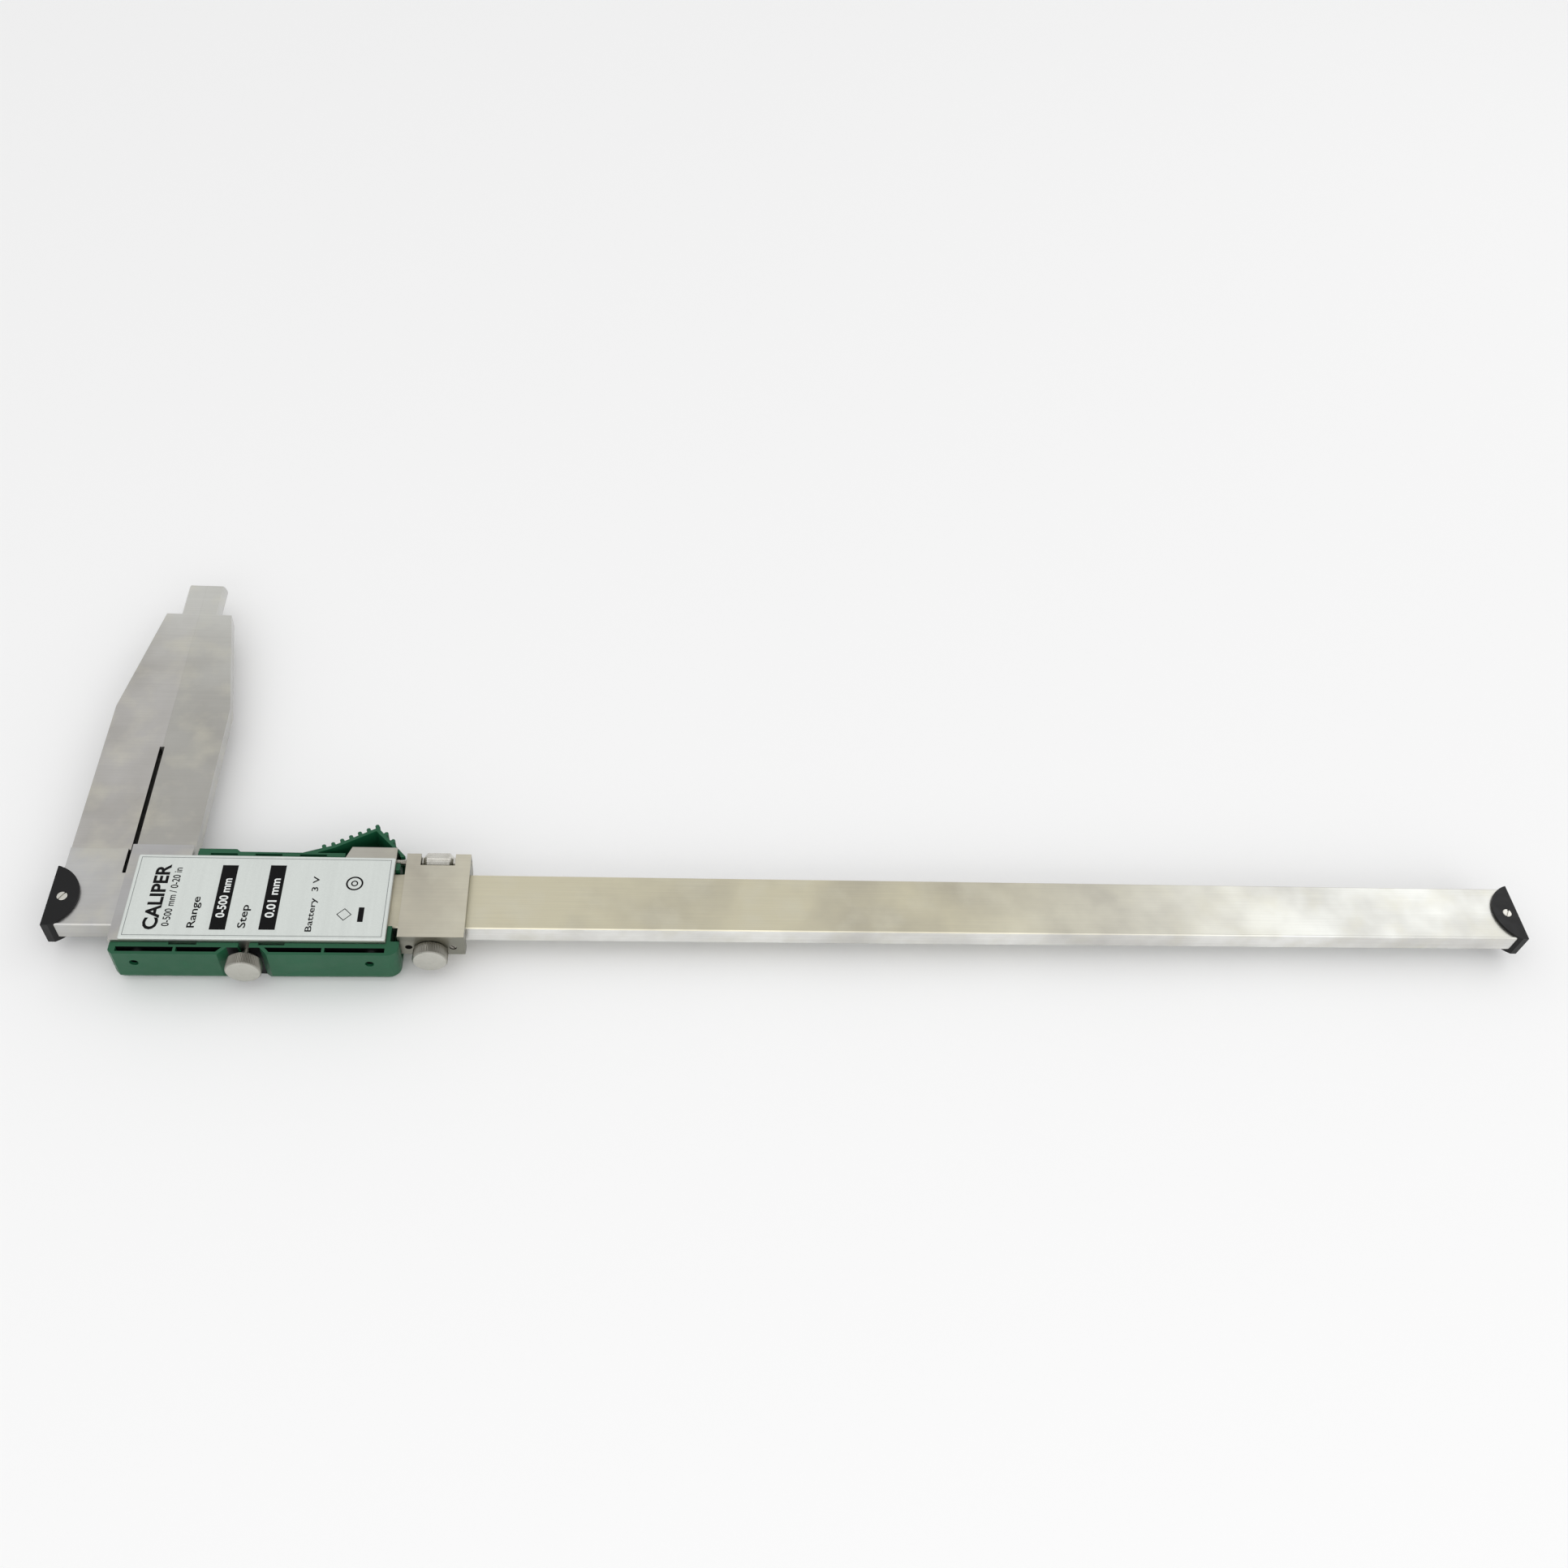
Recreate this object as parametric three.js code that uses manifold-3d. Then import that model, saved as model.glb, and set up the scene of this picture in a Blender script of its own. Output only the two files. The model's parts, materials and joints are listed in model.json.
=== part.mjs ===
// Digital caliper, 0-500 mm, with long nib jaws and a fine-adjustment carriage.
//
// Millimetres. While the parts are made, X runs along the beam from the closed measuring
// faces (X = 0), Y runs from the beam's lower edge towards the jaw tips, and Z = 0 is the
// beam's back face. The display side faces -Z. At the end the whole object is moved so
// that the middle of its outline is at X = Y = 0 and its display face rests on Z = 0.
import * as THREE from 'three';
import { mergeVertices } from 'three/addons/utils/BufferGeometryUtils.js';
import Module from 'manifold-3d';

const wasm = await Module();
wasm.setup();
const { Manifold, Mesh } = wasm;

// ---------------------------------------------------------------- driving dimensions
const BEAM = { left: -28.4, right: 679.4, width: 30.4, thick: 10.5, chamfer: 0.6 };
const MID_Z = -BEAM.thick / 2;
const SLIDE_GAP = 0.1;
const FIT_GAP = 0.15;
const ALL_Z = [-40, 40];

const SCALE = { left: -16, right: 666, low: 5, high: 26, thick: 0.5, recess: 0.6, margin: 0.5 };

const JAW = {
  top: -1.3, bottom: -9.1, outer: 27.7, kinkY: 132.8, shoulderX: 16.6, shoulderY: 199.9,
  reliefX: 1.1, reliefY: 106.4, closedGap: 0.01,
};
const NIB = { tipY: 222.1, halfWidth: 10, faceHalfWidth: 8.4 };
const JAW_BASE = { outer: 28.4, topY: 42.8, rootY: 28.5, inner: 1.7, notchY: 28.8, notchRight: 1.3 };

const CAP = {
  wall: 1.4, near: -1.2, farWall: 0.8, backLobe: 1.3, frontLobe: 1.9, radius: 17.6, reach: 11.3,
  middleY: 14.5, gap: 0.05,
};
const CAP_SCREW = { headRadius: 2.3, shankRadius: 1.2, depth: 6, fromEnd: 4.2 };

const FRAME = { left: 1.1, right: 121, near: -10, far: 36.9, top: 3.3, bottom: -10.6 };
const CHANNEL = { near: -2.6, far: BEAM.width + SLIDE_GAP, top: 0.08 };
const LUG = { left: 100.1, slant: 2.4, far: 43.1 };
const LABEL = { left: 5.3, right: 120.9, near: -9.7, far: 36.5, thick: 1, bevel: 0.5, corner: 0.8 };
const KEEPER = { left: 4.2, right: 119.2, near: -9.4, far: 35.4, top: -10.75, bottom: -12 };
const KEEPER_WINDOW = { left: 24, right: 86, near: 5.5, far: 25.5 };
const GIB = { near: -2.45, far: -0.12, top: -0.9, bottom: -9.6, endGap: 1.5 };

const HOUSING = {
  left: 2, right: 127, near: -16.4, far: 40.3, top: 2, front: -20, edge: 4.5,
  rimNear: -10.2, rimFar: 37.1, frontWall: 1.6, postRight: 123,
  pocketFloor: -10.9, cornerLeft: 1.9, cornerRight: 4.6,
};
const MOAT = {
  near: -15, far: -12.6, floor: -9, left: 4.9, right: 121, ribs: [30, 94], ribHalf: 0.6,
  notchLeft: 47.8, notchRight: 70.7, slant: 2.3,
};
const NOTCH = { outerLeft: 47.6, outerRight: 70.9, innerLeft: 52.2, innerRight: 66.4, floorY: -12.7 };
const RIM_SLOTS = {
  depth: 1.6,
  near: [[27, 39], [65.5, 77]],
  far: [[36.1, 48.3], [56.2, 68.4], [76.4, 88.7]],
};
const BUMP = { left: 30.6, right: 47.5, slant: 1.9, far: 41.8 };
const THUMB = {
  start: [76.5, 40], knee: [91, 44.9], apex: [110.3, 55.9], end: [124.9, 38.9], wall: 1.4,
  bottom: -15.5, floor: 1.6, ridgeRadius: 1, ridgeRise: 0.9, longPitch: 4.42, shortPitch: 5.5,
  longRidges: 7, shortRidges: 2,
};
const CAVITY = { left: 5.5, right: 119, near: -8.6, far: 34.4 };
const WINDOW = { left: 16, right: 80, low: 8, high: 29, seat: 2, seatDepth: 1.1 };
const BUTTON = { y: -1.6, xs: [26, 48, 70], long: 11, wide: 6.4, sink: 0.2 };
const BATTERY = { x: 103.5, y: 13.5, radius: 10, coverRadius: 12.6 };
const CELL = { front: -17.7, step: -15, back: -14.5 };
const BOARD = { left: 8, right: 118, near: -5.4, far: 30.6, top: -12.2, thick: 1.2 };
const HOUSING_SCREWS = [[22, -6.3], [96, -6.3], [40, 33.4], [90, 33.4]];

const CARRIAGE = {
  left: 126.1, right: 155.8, near: -8.3, far: 38.5, top: 5.1, bottom: -10.8, chamferY: 3.3, chamferZ: 1.7,
};
const NUT = { y: 36.8, z: 0.2, radius: 4.6, left: 133.3, right: 147.4, chamfer: 1.8, hubRadius: 2.6 };
const NUT_SLOT = { left: 132.7, right: 148.6, near: 31.9, floor: -5.8 };
const FINE_ROD = { radius: 1.5, left: 104, right: 155.2 };
const CARRIAGE_PLATE = { thick: 1.5, near: -5, far: 35.2, inset: 0.8 };
const PLATE_SCREW = { headRadius: 1.1, shankRadius: 0.9, fromEnd: 4.6, ys: [-3.7, 33.4], depth: 3 };

const KNOB = { radius: 7.95, length: 6.6, shankRadius: 2, flutes: 36, fluteDepth: 0.35 };
const SLIDER_KNOB = { x: 59.4, back: -15 };
const CARRIAGE_KNOB = { x: 140.5, back: -8.6 };
const GIB_SCREW = { radius: 1.5, length: 5.5, slot: 0.5 };
const SLIDER_GIB_SCREWS = [12, 114];
const CARRIAGE_GIB_SCREWS = [130.7, 150.6];
const CARRIAGE_GIB_Z = -3.5;
const CARRIAGE_GIB_LENGTHS = [3.6, GIB_SCREW.length];

const ROUND = 32;

// ------------------------------------------------------------------------ materials
const finish = (color, roughness, metalness) => ({ color, roughness, metalness });
const STEEL = finish(0xb9b6ae, 0.42, 0.9);
const POLISHED = finish(0xcfccc4, 0.25, 1);
const LABEL_SILVER = finish(0xd5dbd7, 0.5, 0.3);
const GREEN = finish(0x2f7d55, 0.5, 0);
const BLACK = finish(0x181a1b, 0.55, 0);
const BRASS = finish(0xb08d4a, 0.4, 1);
const BOARD_GREEN = finish(0x1f5136, 0.5, 0);
const SCALE_GREY = finish(0x9aa09c, 0.5, 0.4);
const CLEAR = finish(0xdfe8ea, 0.08, 0);
const LCD_GREY = finish(0xa9b3a2, 0.25, 0);
const RUBBER = finish(0x2a2c2d, 0.8, 0);

// ---------------------------------------------------------------------- solid helpers
const ALONG = {
  x: new THREE.Matrix4().makeBasis(
    new THREE.Vector3(0, 1, 0), new THREE.Vector3(0, 0, 1), new THREE.Vector3(1, 0, 0)),
  y: new THREE.Matrix4().makeBasis(
    new THREE.Vector3(0, 0, 1), new THREE.Vector3(1, 0, 0), new THREE.Vector3(0, 1, 0)),
  z: new THREE.Matrix4(),
};

function solid(geometry) {
  const clean = geometry.clone();
  for (const name of Object.keys(clean.attributes)) {
    if (name !== 'position') clean.deleteAttribute(name);
  }
  const merged = mergeVertices(clean, 1e-4);
  const index = merged.index.array;
  const triangles = [];
  for (let i = 0; i < index.length; i += 3) {
    const [a, b, c] = [index[i], index[i + 1], index[i + 2]];
    if (a !== b && b !== c && c !== a) triangles.push(a, b, c);
  }
  return new Manifold(new Mesh({
    numProp: 3,
    vertProperties: new Float32Array(merged.attributes.position.array),
    triVerts: new Uint32Array(triangles),
  }));
}

function box(x0, x1, y0, y1, z0, z1) {
  const geometry = new THREE.BoxGeometry(x1 - x0, y1 - y0, z1 - z0);
  geometry.translate((x0 + x1) / 2, (y0 + y1) / 2, (z0 + z1) / 2);
  return solid(geometry);
}

// A prism between two places on an axis. Points are (x, y) for axis z, (y, z) for axis x
// and (x, z) for axis y.
function prism(axis, points, from, to) {
  const swapped = axis === 'y';
  const section = points.map(([u, v]) => (swapped ? new THREE.Vector2(v, u) : new THREE.Vector2(u, v)));
  const geometry = new THREE.ExtrudeGeometry(new THREE.Shape(section), {
    depth: to - from, bevelEnabled: false, steps: 1,
  });
  geometry.translate(0, 0, from);
  geometry.applyMatrix4(ALONG[axis]);
  return solid(geometry);
}

function arc(centre, radius, startDeg, endDeg, steps) {
  const points = [];
  for (let i = 0; i <= steps; i += 1) {
    const angle = THREE.MathUtils.degToRad(startDeg + ((endDeg - startDeg) * i) / steps);
    points.push([centre[0] + radius * Math.cos(angle), centre[1] + radius * Math.sin(angle)]);
  }
  return points;
}

const circle = (centre, radius, sides = ROUND) => arc(centre, radius, 0, 360 - 360 / sides, sides - 1);

// A round bar: centre is (y, z), (x, z) or (x, y) for axis x, y or z.
const bar = (axis, centre, radius, from, to, sides = ROUND) => prism(
  axis, circle(centre, radius, sides), Math.min(from, to), Math.max(from, to));

// A turned shape about an axis parallel to X, Y or Z: profile points are (radius, place).
function turned(axis, centre, profile, sides = ROUND) {
  const geometry = new THREE.LatheGeometry(profile.map(([r, h]) => new THREE.Vector2(r, h)), sides);
  geometry.rotateX(Math.PI / 2);
  const [u, v] = centre;
  const place = { x: [0, u, v], y: [u, 0, v], z: [u, v, 0] };
  geometry.applyMatrix4(ALONG[axis]);
  geometry.translate(...place[axis]);
  const body = solid(geometry);
  return body.volume() < 0 ? solid(flipped(geometry)) : body;
}

function flipped(geometry) {
  const turnedOver = geometry.clone();
  const index = turnedOver.index.array;
  for (let i = 0; i < index.length; i += 3) {
    [index[i], index[i + 1]] = [index[i + 1], index[i]];
  }
  return turnedOver;
}

const roundedRectangle = (x0, x1, y0, y1, r, steps = 5) => [
  ...arc([x1 - r, y0 + r], r, -90, 0, steps), ...arc([x1 - r, y1 - r], r, 0, 90, steps),
  ...arc([x0 + r, y1 - r], r, 90, 180, steps), ...arc([x0 + r, y0 + r], r, 180, 270, steps),
];

const add = (...solids) => solids.reduce((whole, next) => whole.add(next));
const cut = (whole, ...tools) => tools.reduce((rest, tool) => rest.subtract(tool), whole);

const group = new THREE.Group();

function part(name, body, look) {
  const mesh = body.getMesh();
  const geometry = new THREE.BufferGeometry();
  geometry.setAttribute('position', new THREE.BufferAttribute(new Float32Array(mesh.vertProperties), 3));
  geometry.setIndex(new THREE.BufferAttribute(new Uint32Array(mesh.triVerts), 1));
  geometry.computeVertexNormals();
  const node = new THREE.Mesh(geometry, new THREE.MeshStandardMaterial(look));
  node.name = name;
  group.add(node);
}

// ------------------------------------------------------------------ beam and its jaw
// The jaw plate of one side (-1 fixed, +1 moving): relieved behind the measuring face,
// tapered past the kink, with a rounded nib for inside measurement at its tip.
function jawPlate(side) {
  const outline = [
    [JAW.reliefX, JAW_BASE.rootY + 3], [JAW.outer, JAW_BASE.rootY + 3], [JAW.outer, JAW.kinkY],
    [JAW.shoulderX, JAW.shoulderY], [JAW.closedGap, JAW.shoulderY], [JAW.closedGap, JAW.reliefY],
    [JAW.reliefX, JAW.reliefY],
  ];
  const plate = prism('z', outline.map(([x, y]) => [side * x, y]), JAW.bottom, JAW.top);
  const half = (JAW.top - JAW.bottom) / 2;
  const middle = (JAW.top + JAW.bottom) / 2;
  const rise = NIB.halfWidth - NIB.faceHalfWidth;
  const radius = (half * half + rise * rise) / (2 * rise);
  const spread = THREE.MathUtils.radToDeg(Math.asin(half / radius));
  const section = [
    [JAW.closedGap, JAW.bottom],
    ...arc([NIB.halfWidth - radius, middle], radius, -spread, spread, 8),
    [JAW.closedGap, JAW.top],
  ];
  const nib = prism('y', section.map(([x, z]) => [side * x, z]), JAW.shoulderY - 1, NIB.tipY);
  return plate.add(nib);
}

function beam() {
  const { width, thick, chamfer: c } = BEAM;
  const section = [
    [c, -thick], [width - c, -thick], [width, -thick + c], [width, -c],
    [width - c, 0], [c, 0], [0, -c], [0, -thick + c],
  ];
  const rail = prism('x', section, BEAM.left, BEAM.right);
  const base = box(-JAW.outer + 0.3, -JAW_BASE.inner, JAW_BASE.rootY, JAW_BASE.topY, -thick, 0);
  const notch = box(-JAW_BASE.inner, JAW_BASE.notchRight, JAW_BASE.notchY, JAW_BASE.topY, ...ALL_Z);
  const recess = box(
    SCALE.left - SCALE.margin, SCALE.right + SCALE.margin, SCALE.low - SLIDE_GAP, SCALE.high + SLIDE_GAP,
    -thick - 1, -thick + SCALE.recess);
  return cut(add(rail, base, jawPlate(-1)), notch, recess, ...capScrewHoles());
}

// ----------------------------------------------------------------------- end caps
const CAP_SPOTS = {
  left: { x: BEAM.left + CAP_SCREW.fromEnd, y: CAP.middleY, side: -1 },
  right: { x: BEAM.right - CAP_SCREW.fromEnd, y: CAP.middleY, side: 1 },
};

const capScrewHoles = () => Object.values(CAP_SPOTS).map(
  ({ x, y }) => bar('z', [x, y], CAP_SCREW.shankRadius + FIT_GAP, -CAP_SCREW.depth - 0.5, 1));

// A moulded cap with a D-shaped lobe on the back and the front of the beam.
function endCap({ side }) {
  const beamEnd = side < 0 ? BEAM.left : BEAM.right;
  const wallEnd = beamEnd + side * CAP.wall;
  const inner = beamEnd - side * CAP.reach;
  const centreX = inner + side * CAP.radius;
  const fromTo = (a, b) => [Math.min(a, b), Math.max(a, b)];
  const cover = bar('z', [centreX, CAP.middleY], CAP.radius, -BEAM.thick - CAP.frontLobe, CAP.backLobe, 72);
  const limits = box(...fromTo(wallEnd, inner - side), CAP.near, BEAM.width + CAP.farWall, ...ALL_Z);
  const pocket = box(
    ...fromTo(beamEnd + side * CAP.gap, inner - side * 5), -CAP.gap, BEAM.width + CAP.gap,
    -BEAM.thick - CAP.gap, CAP.gap);
  const jawRoom = box(-JAW.outer, JAW.outer, BEAM.width - CAP.gap, BEAM.width + 5, ...ALL_Z);
  return cut(cover.intersect(limits), pocket, jawRoom);
}

function slottedHead(centre, headRadius, top, thick, shankRadius, bottom) {
  const profile = [
    [0, bottom], [shankRadius, bottom], [shankRadius, top - thick], [headRadius, top - thick * 0.45],
    [headRadius, top - 0.2], [headRadius - 0.25, top], [0, top],
  ];
  const slot = box(
    centre[0] - headRadius - 1, centre[0] + headRadius + 1, centre[1] - 0.3, centre[1] + 0.3,
    top - 0.6, top + 1);
  return turned('z', centre, profile).subtract(slot);
}

function addEndCaps() {
  for (const [name, spot] of Object.entries(CAP_SPOTS)) {
    const centre = [spot.x, spot.y];
    const top = CAP.backLobe + 0.25;
    const seat = bar('z', centre, CAP_SCREW.headRadius + FIT_GAP, CAP.backLobe - 1, CAP.backLobe + 3);
    const hole = bar('z', centre, CAP_SCREW.shankRadius + 0.6, -1, CAP.backLobe + 1);
    part(`end_cap_${name}`, cut(endCap(spot), seat, hole), BLACK);
    const screw = slottedHead(
      centre, CAP_SCREW.headRadius, top, 0.9, CAP_SCREW.shankRadius, -CAP_SCREW.depth);
    part(`cap_screw_${name}`, screw, POLISHED);
  }
}

// ------------------------------------------------------------------ slider metalwork
function sliderOutline() {
  const f = FRAME;
  return [
    [f.left, f.near], [f.right, f.near], [f.right, LUG.far], [LUG.left, LUG.far],
    [LUG.left - LUG.slant, f.far], [JAW_BASE.outer, f.far], [JAW_BASE.outer, JAW_BASE.topY],
    [f.left, JAW_BASE.topY],
  ];
}

function sliderFrame() {
  const block = prism('z', sliderOutline(), FRAME.bottom, FRAME.top);
  const jaw = jawPlate(1);
  const channel = box(-5, 130, CHANNEL.near, CHANNEL.far, ALL_Z[0], CHANNEL.top);
  const lockHole = bar('y', [SLIDER_KNOB.x, MID_Z], KNOB.shankRadius + FIT_GAP, -12, 0);
  const gibHoles = SLIDER_GIB_SCREWS.map((x) => bar('y', [x, MID_Z], GIB_SCREW.radius + FIT_GAP, -12, 0));
  const rodHole = bar('x', [NUT.y, NUT.z], FINE_ROD.radius + FIT_GAP, FINE_ROD.left - 0.3, FRAME.right + 1);
  const screwHoles = HOUSING_SCREWS.flatMap(([x, y]) => [
    bar('z', [x, y], 1.4, -20, 5, 24), bar('z', [x, y], 2.15, FRAME.top - 1.6, 5, 24)]);
  return cut(add(block, jaw), channel, lockHole, ...gibHoles, rodHole, ...screwHoles);
}

function labelPlate() {
  const { left, right, near, far, thick, bevel: b } = LABEL;
  const base = FRAME.top + 0.03;
  const outlineAt = (inset) => roundedRectangle(
    left + inset, right - inset, near + inset, far - inset, LABEL.corner - inset / 2, 3);
  return loft([outlineAt(0), outlineAt(0), outlineAt(b)], [base, base + thick - b, base + thick]);
}

const screwShank = ([x, y]) => slottedHead([x, y], 2, FRAME.top - 0.1, 1.4, 1.15, -16.4);

function gibScrew(x, tipY, z, length = GIB_SCREW.length) {
  const start = tipY - length;
  const screw = bar('y', [x, z], GIB_SCREW.radius, start, tipY, 24);
  const slot = box(x - 3, x + 3, start - 1, start + 0.8, z - GIB_SCREW.slot / 2, z + GIB_SCREW.slot / 2);
  return screw.subtract(slot);
}

const gibStrip = (x0, x1) => box(x0, x1, GIB.near, GIB.far, GIB.bottom, GIB.top);

const lockPad = (x) => bar('y', [x, MID_Z], KNOB.shankRadius - 0.1, GIB.near - 0.9, GIB.near - 0.05, 24);

// A knurled lock knob with its threaded shank, turning about an axis along Y.
function lockKnob(x, back) {
  const front = back - KNOB.length;
  const tip = GIB.near - 1;
  const profile = [
    [0, front], [KNOB.radius - 0.9, front], [KNOB.radius, front + 0.7], [KNOB.radius, back - 0.4],
    [KNOB.radius - 0.4, back], [KNOB.shankRadius, back], [KNOB.shankRadius, tip], [0, tip],
  ];
  const flutes = [];
  for (let i = 0; i < KNOB.flutes; i += 1) {
    const angle = (2 * Math.PI * i) / KNOB.flutes;
    const centre = [x + KNOB.radius * Math.cos(angle), MID_Z + KNOB.radius * Math.sin(angle)];
    flutes.push(bar('y', centre, KNOB.fluteDepth, front + 1.2, back - 0.6, 4));
  }
  return cut(turned('y', [x, MID_Z], profile, 72), ...flutes);
}

function fineRod() {
  return bar('x', [NUT.y, NUT.z], FINE_ROD.radius, FINE_ROD.left, FINE_ROD.right, 24);
}

// --------------------------------------------------------------------- green housing
// A closed body through rings of points, each ring an outline at its own height.
function loft(outlines, heights) {
  const count = outlines[0].length;
  const positions = outlines.flatMap((ring, i) => ring.flatMap(([x, y]) => [x, y, heights[i]]));
  const faces = [];
  for (let level = 0; level < outlines.length - 1; level += 1) {
    for (let i = 0; i < count; i += 1) {
      const a = level * count + i;
      const b = level * count + ((i + 1) % count);
      faces.push(a, b, b + count, a, b + count, a + count);
    }
  }
  const flat = THREE.ShapeUtils.triangulateShape(outlines[0].map(([x, y]) => new THREE.Vector2(x, y)), []);
  const last = (outlines.length - 1) * count;
  for (const [a, b, c] of flat) faces.push(a, c, b, last + a, last + b, last + c);
  const geometry = new THREE.BufferGeometry();
  geometry.setAttribute('position', new THREE.BufferAttribute(new Float32Array(positions), 3));
  geometry.setIndex(faces);
  return solid(geometry);
}

// The outside of the shell: upright walls, and edges that slope in towards the display face.
function housingShell() {
  const h = HOUSING;
  const outline = [
    [h.left, h.near + h.cornerLeft], [h.left + h.cornerLeft, h.near],
    ...arc([h.right - h.cornerRight, h.near + h.cornerRight], h.cornerRight, -90, 0, 5),
    [h.right, h.far - 2], [h.right - 2, h.far], [h.left, h.far],
  ];
  const middle = [(h.left + h.right) / 2, (h.near + h.far) / 2];
  const inset = (step) => outline.map(([x, y]) => [
    middle[0] + (x - middle[0]) * (1 - (2 * step) / (h.right - h.left)),
    middle[1] + (y - middle[1]) * (1 - (2 * step) / (h.far - h.near)),
  ]);
  const slope = [[0, 1], [0.25, 0.42], [0.6, 0.13], [1, 0]];
  const rings = [...slope].reverse().map(([share]) => inset(share * h.edge));
  const heights = [...slope].reverse().map(([, share]) => h.front + share * h.edge);
  return loft([...rings, outline], [...heights, h.top]);
}

function housingPockets() {
  const h = HOUSING;
  const floor = h.pocketFloor;
  const gap = FIT_GAP;
  return [
    // the slider frame sits in this pocket, and the beam leaves it at both ends
    box(-5, FRAME.right + gap, h.rimNear, h.rimFar, floor, ALL_Z[1]),
    box(-5, BUMP.left - 0.2, 20, 70, floor, ALL_Z[1]),
    lugRoom(),
    box(100, 140, -0.5, BEAM.width + 0.5, floor, ALL_Z[1]),
    // room for the carriage beside the right end wall, and for the rod through that wall
    box(h.postRight, 140, CARRIAGE.near - 0.6, 60, CARRIAGE.bottom - 2.2, ALL_Z[1]),
    box(FRAME.right - 1, 140, NUT.y - 2, LUG.far + 0.2, -3, ALL_Z[1]),
    // the keeper plate and the electronics
    box(
      KEEPER.left - gap, KEEPER.right + gap, KEEPER.near - gap, KEEPER.far + gap,
      KEEPER.bottom - 0.1, floor + 1),
    box(CAVITY.left, CAVITY.right, CAVITY.near, CAVITY.far, h.front + h.frontWall, floor),
  ];
}

function moatCuts() {
  const m = MOAT;
  const upTo = [m.floor, ALL_Z[1]];
  const firstEnd = m.ribs[0] + m.ribHalf;
  const lastEnd = m.ribs[1] - m.ribHalf;
  return [
    box(m.left, m.ribs[0] - m.ribHalf, m.near, m.far, ...upTo),
    prism('z', [
      [firstEnd, m.near], [m.notchLeft, m.near], [m.notchLeft + m.slant, m.far], [firstEnd, m.far],
    ], ...upTo),
    prism('z', [
      [m.notchRight, m.near], [lastEnd, m.near], [lastEnd, m.far], [m.notchRight - m.slant, m.far],
    ], ...upTo),
    box(m.ribs[1] + m.ribHalf, m.right, m.near, m.far, ...upTo),
  ];
}

function housingNotches() {
  const h = HOUSING;
  const n = NOTCH;
  const slotZ = [h.top - RIM_SLOTS.depth, ALL_Z[1]];
  const shankRoom = KNOB.shankRadius + 0.4;
  return [
    // the finger recess round the lock knob, and the slot its shank passes through
    prism('z', [
      [n.outerLeft, h.near - 1], [n.outerRight, h.near - 1], [n.innerRight, n.floorY],
      [n.innerLeft, n.floorY],
    ], ...ALL_Z),
    box(SLIDER_KNOB.x - shankRoom, SLIDER_KNOB.x + shankRoom, -14, -9, MID_Z - 3, ALL_Z[1]),
    // slots in both rims, and the access holes of the two gib screws
    ...RIM_SLOTS.near.map(([a, b]) => box(a, b, h.rimNear - 1.2, h.rimNear + 1, ...slotZ)),
    ...RIM_SLOTS.far.map(([a, b]) => box(a, b, h.rimFar + 1.1, h.rimFar + 2.2, ...slotZ)),
    ...SLIDER_GIB_SCREWS.map((x) => bar('y', [x, MID_Z], GIB_SCREW.radius + 0.5, -20, -9, 24)),
  ];
}

// The place at a distance along a chain of points, moved sideways to the left of its direction.
function alongChain(points, distance, sideways) {
  let left = distance;
  for (let i = 0; i + 1 < points.length; i += 1) {
    const [ax, ay] = points[i];
    const [bx, by] = points[i + 1];
    const span = Math.hypot(bx - ax, by - ay);
    if (left <= span || i + 2 === points.length) {
      const [ux, uy] = [(bx - ax) / span, (by - ay) / span];
      return [ax + ux * left - uy * sideways, ay + uy * left + ux * sideways];
    }
    left -= span;
  }
  return points[points.length - 1];
}

// Upright ridges that stand out of the thumb rest on both sides of its apex.
function thumbRidges() {
  const { start, knee, apex, end, ridgeRadius: r, ridgeRise } = THUMB;
  const ridge = (points, distance, sideways) => [0, ridgeRise * sideways].map(
    (rise) => bar('z', alongChain(points, distance, rise), r, THUMB.bottom + 0.4, HOUSING.top, 10));
  const ridges = [];
  for (let i = 0; i < THUMB.longRidges; i += 1) {
    ridges.push(...ridge([apex, knee, start], i * THUMB.longPitch, -1));
  }
  for (let i = 1; i <= THUMB.shortRidges; i += 1) {
    ridges.push(...ridge([apex, end], i * THUMB.shortPitch, 1));
  }
  return ridges;
}

// A thin bent wall with ridges for the thumb, open towards the back.
function thumbRest() {
  const { start, knee, apex, end, wall, bottom } = THUMB;
  const root = HOUSING.rimFar + 0.6;
  const inside = 5;
  const outer = [start, knee, apex, end, [end[0] - 1.4, root], [start[0], root]];
  const inner = [
    [start[0] + 8, root], [start[0] + 8, HOUSING.far + 0.4], [knee[0] + 0.7, knee[1] - wall],
    [apex[0] - 0.6, apex[1] - wall * 1.5], [end[0] - wall * 2, HOUSING.far], [end[0] - wall * 1.4, root],
  ];
  const shell = prism('z', outer, bottom, HOUSING.top);
  const hollow = prism('z', inner, bottom + THUMB.floor, HOUSING.top + inside);
  return cut(add(shell, ...thumbRidges()), hollow);
}

function farBump() {
  const b = BUMP;
  const root = HOUSING.rimFar + 0.6;
  const right = b.right + b.slant;
  const sides = [
    [b.left, root], [right, root], [right, HOUSING.far - 0.2], [b.right, b.far], [b.left, b.far],
  ];
  return prism('z', sides, HOUSING.front + HOUSING.edge + 0.6, HOUSING.top);
}

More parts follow.
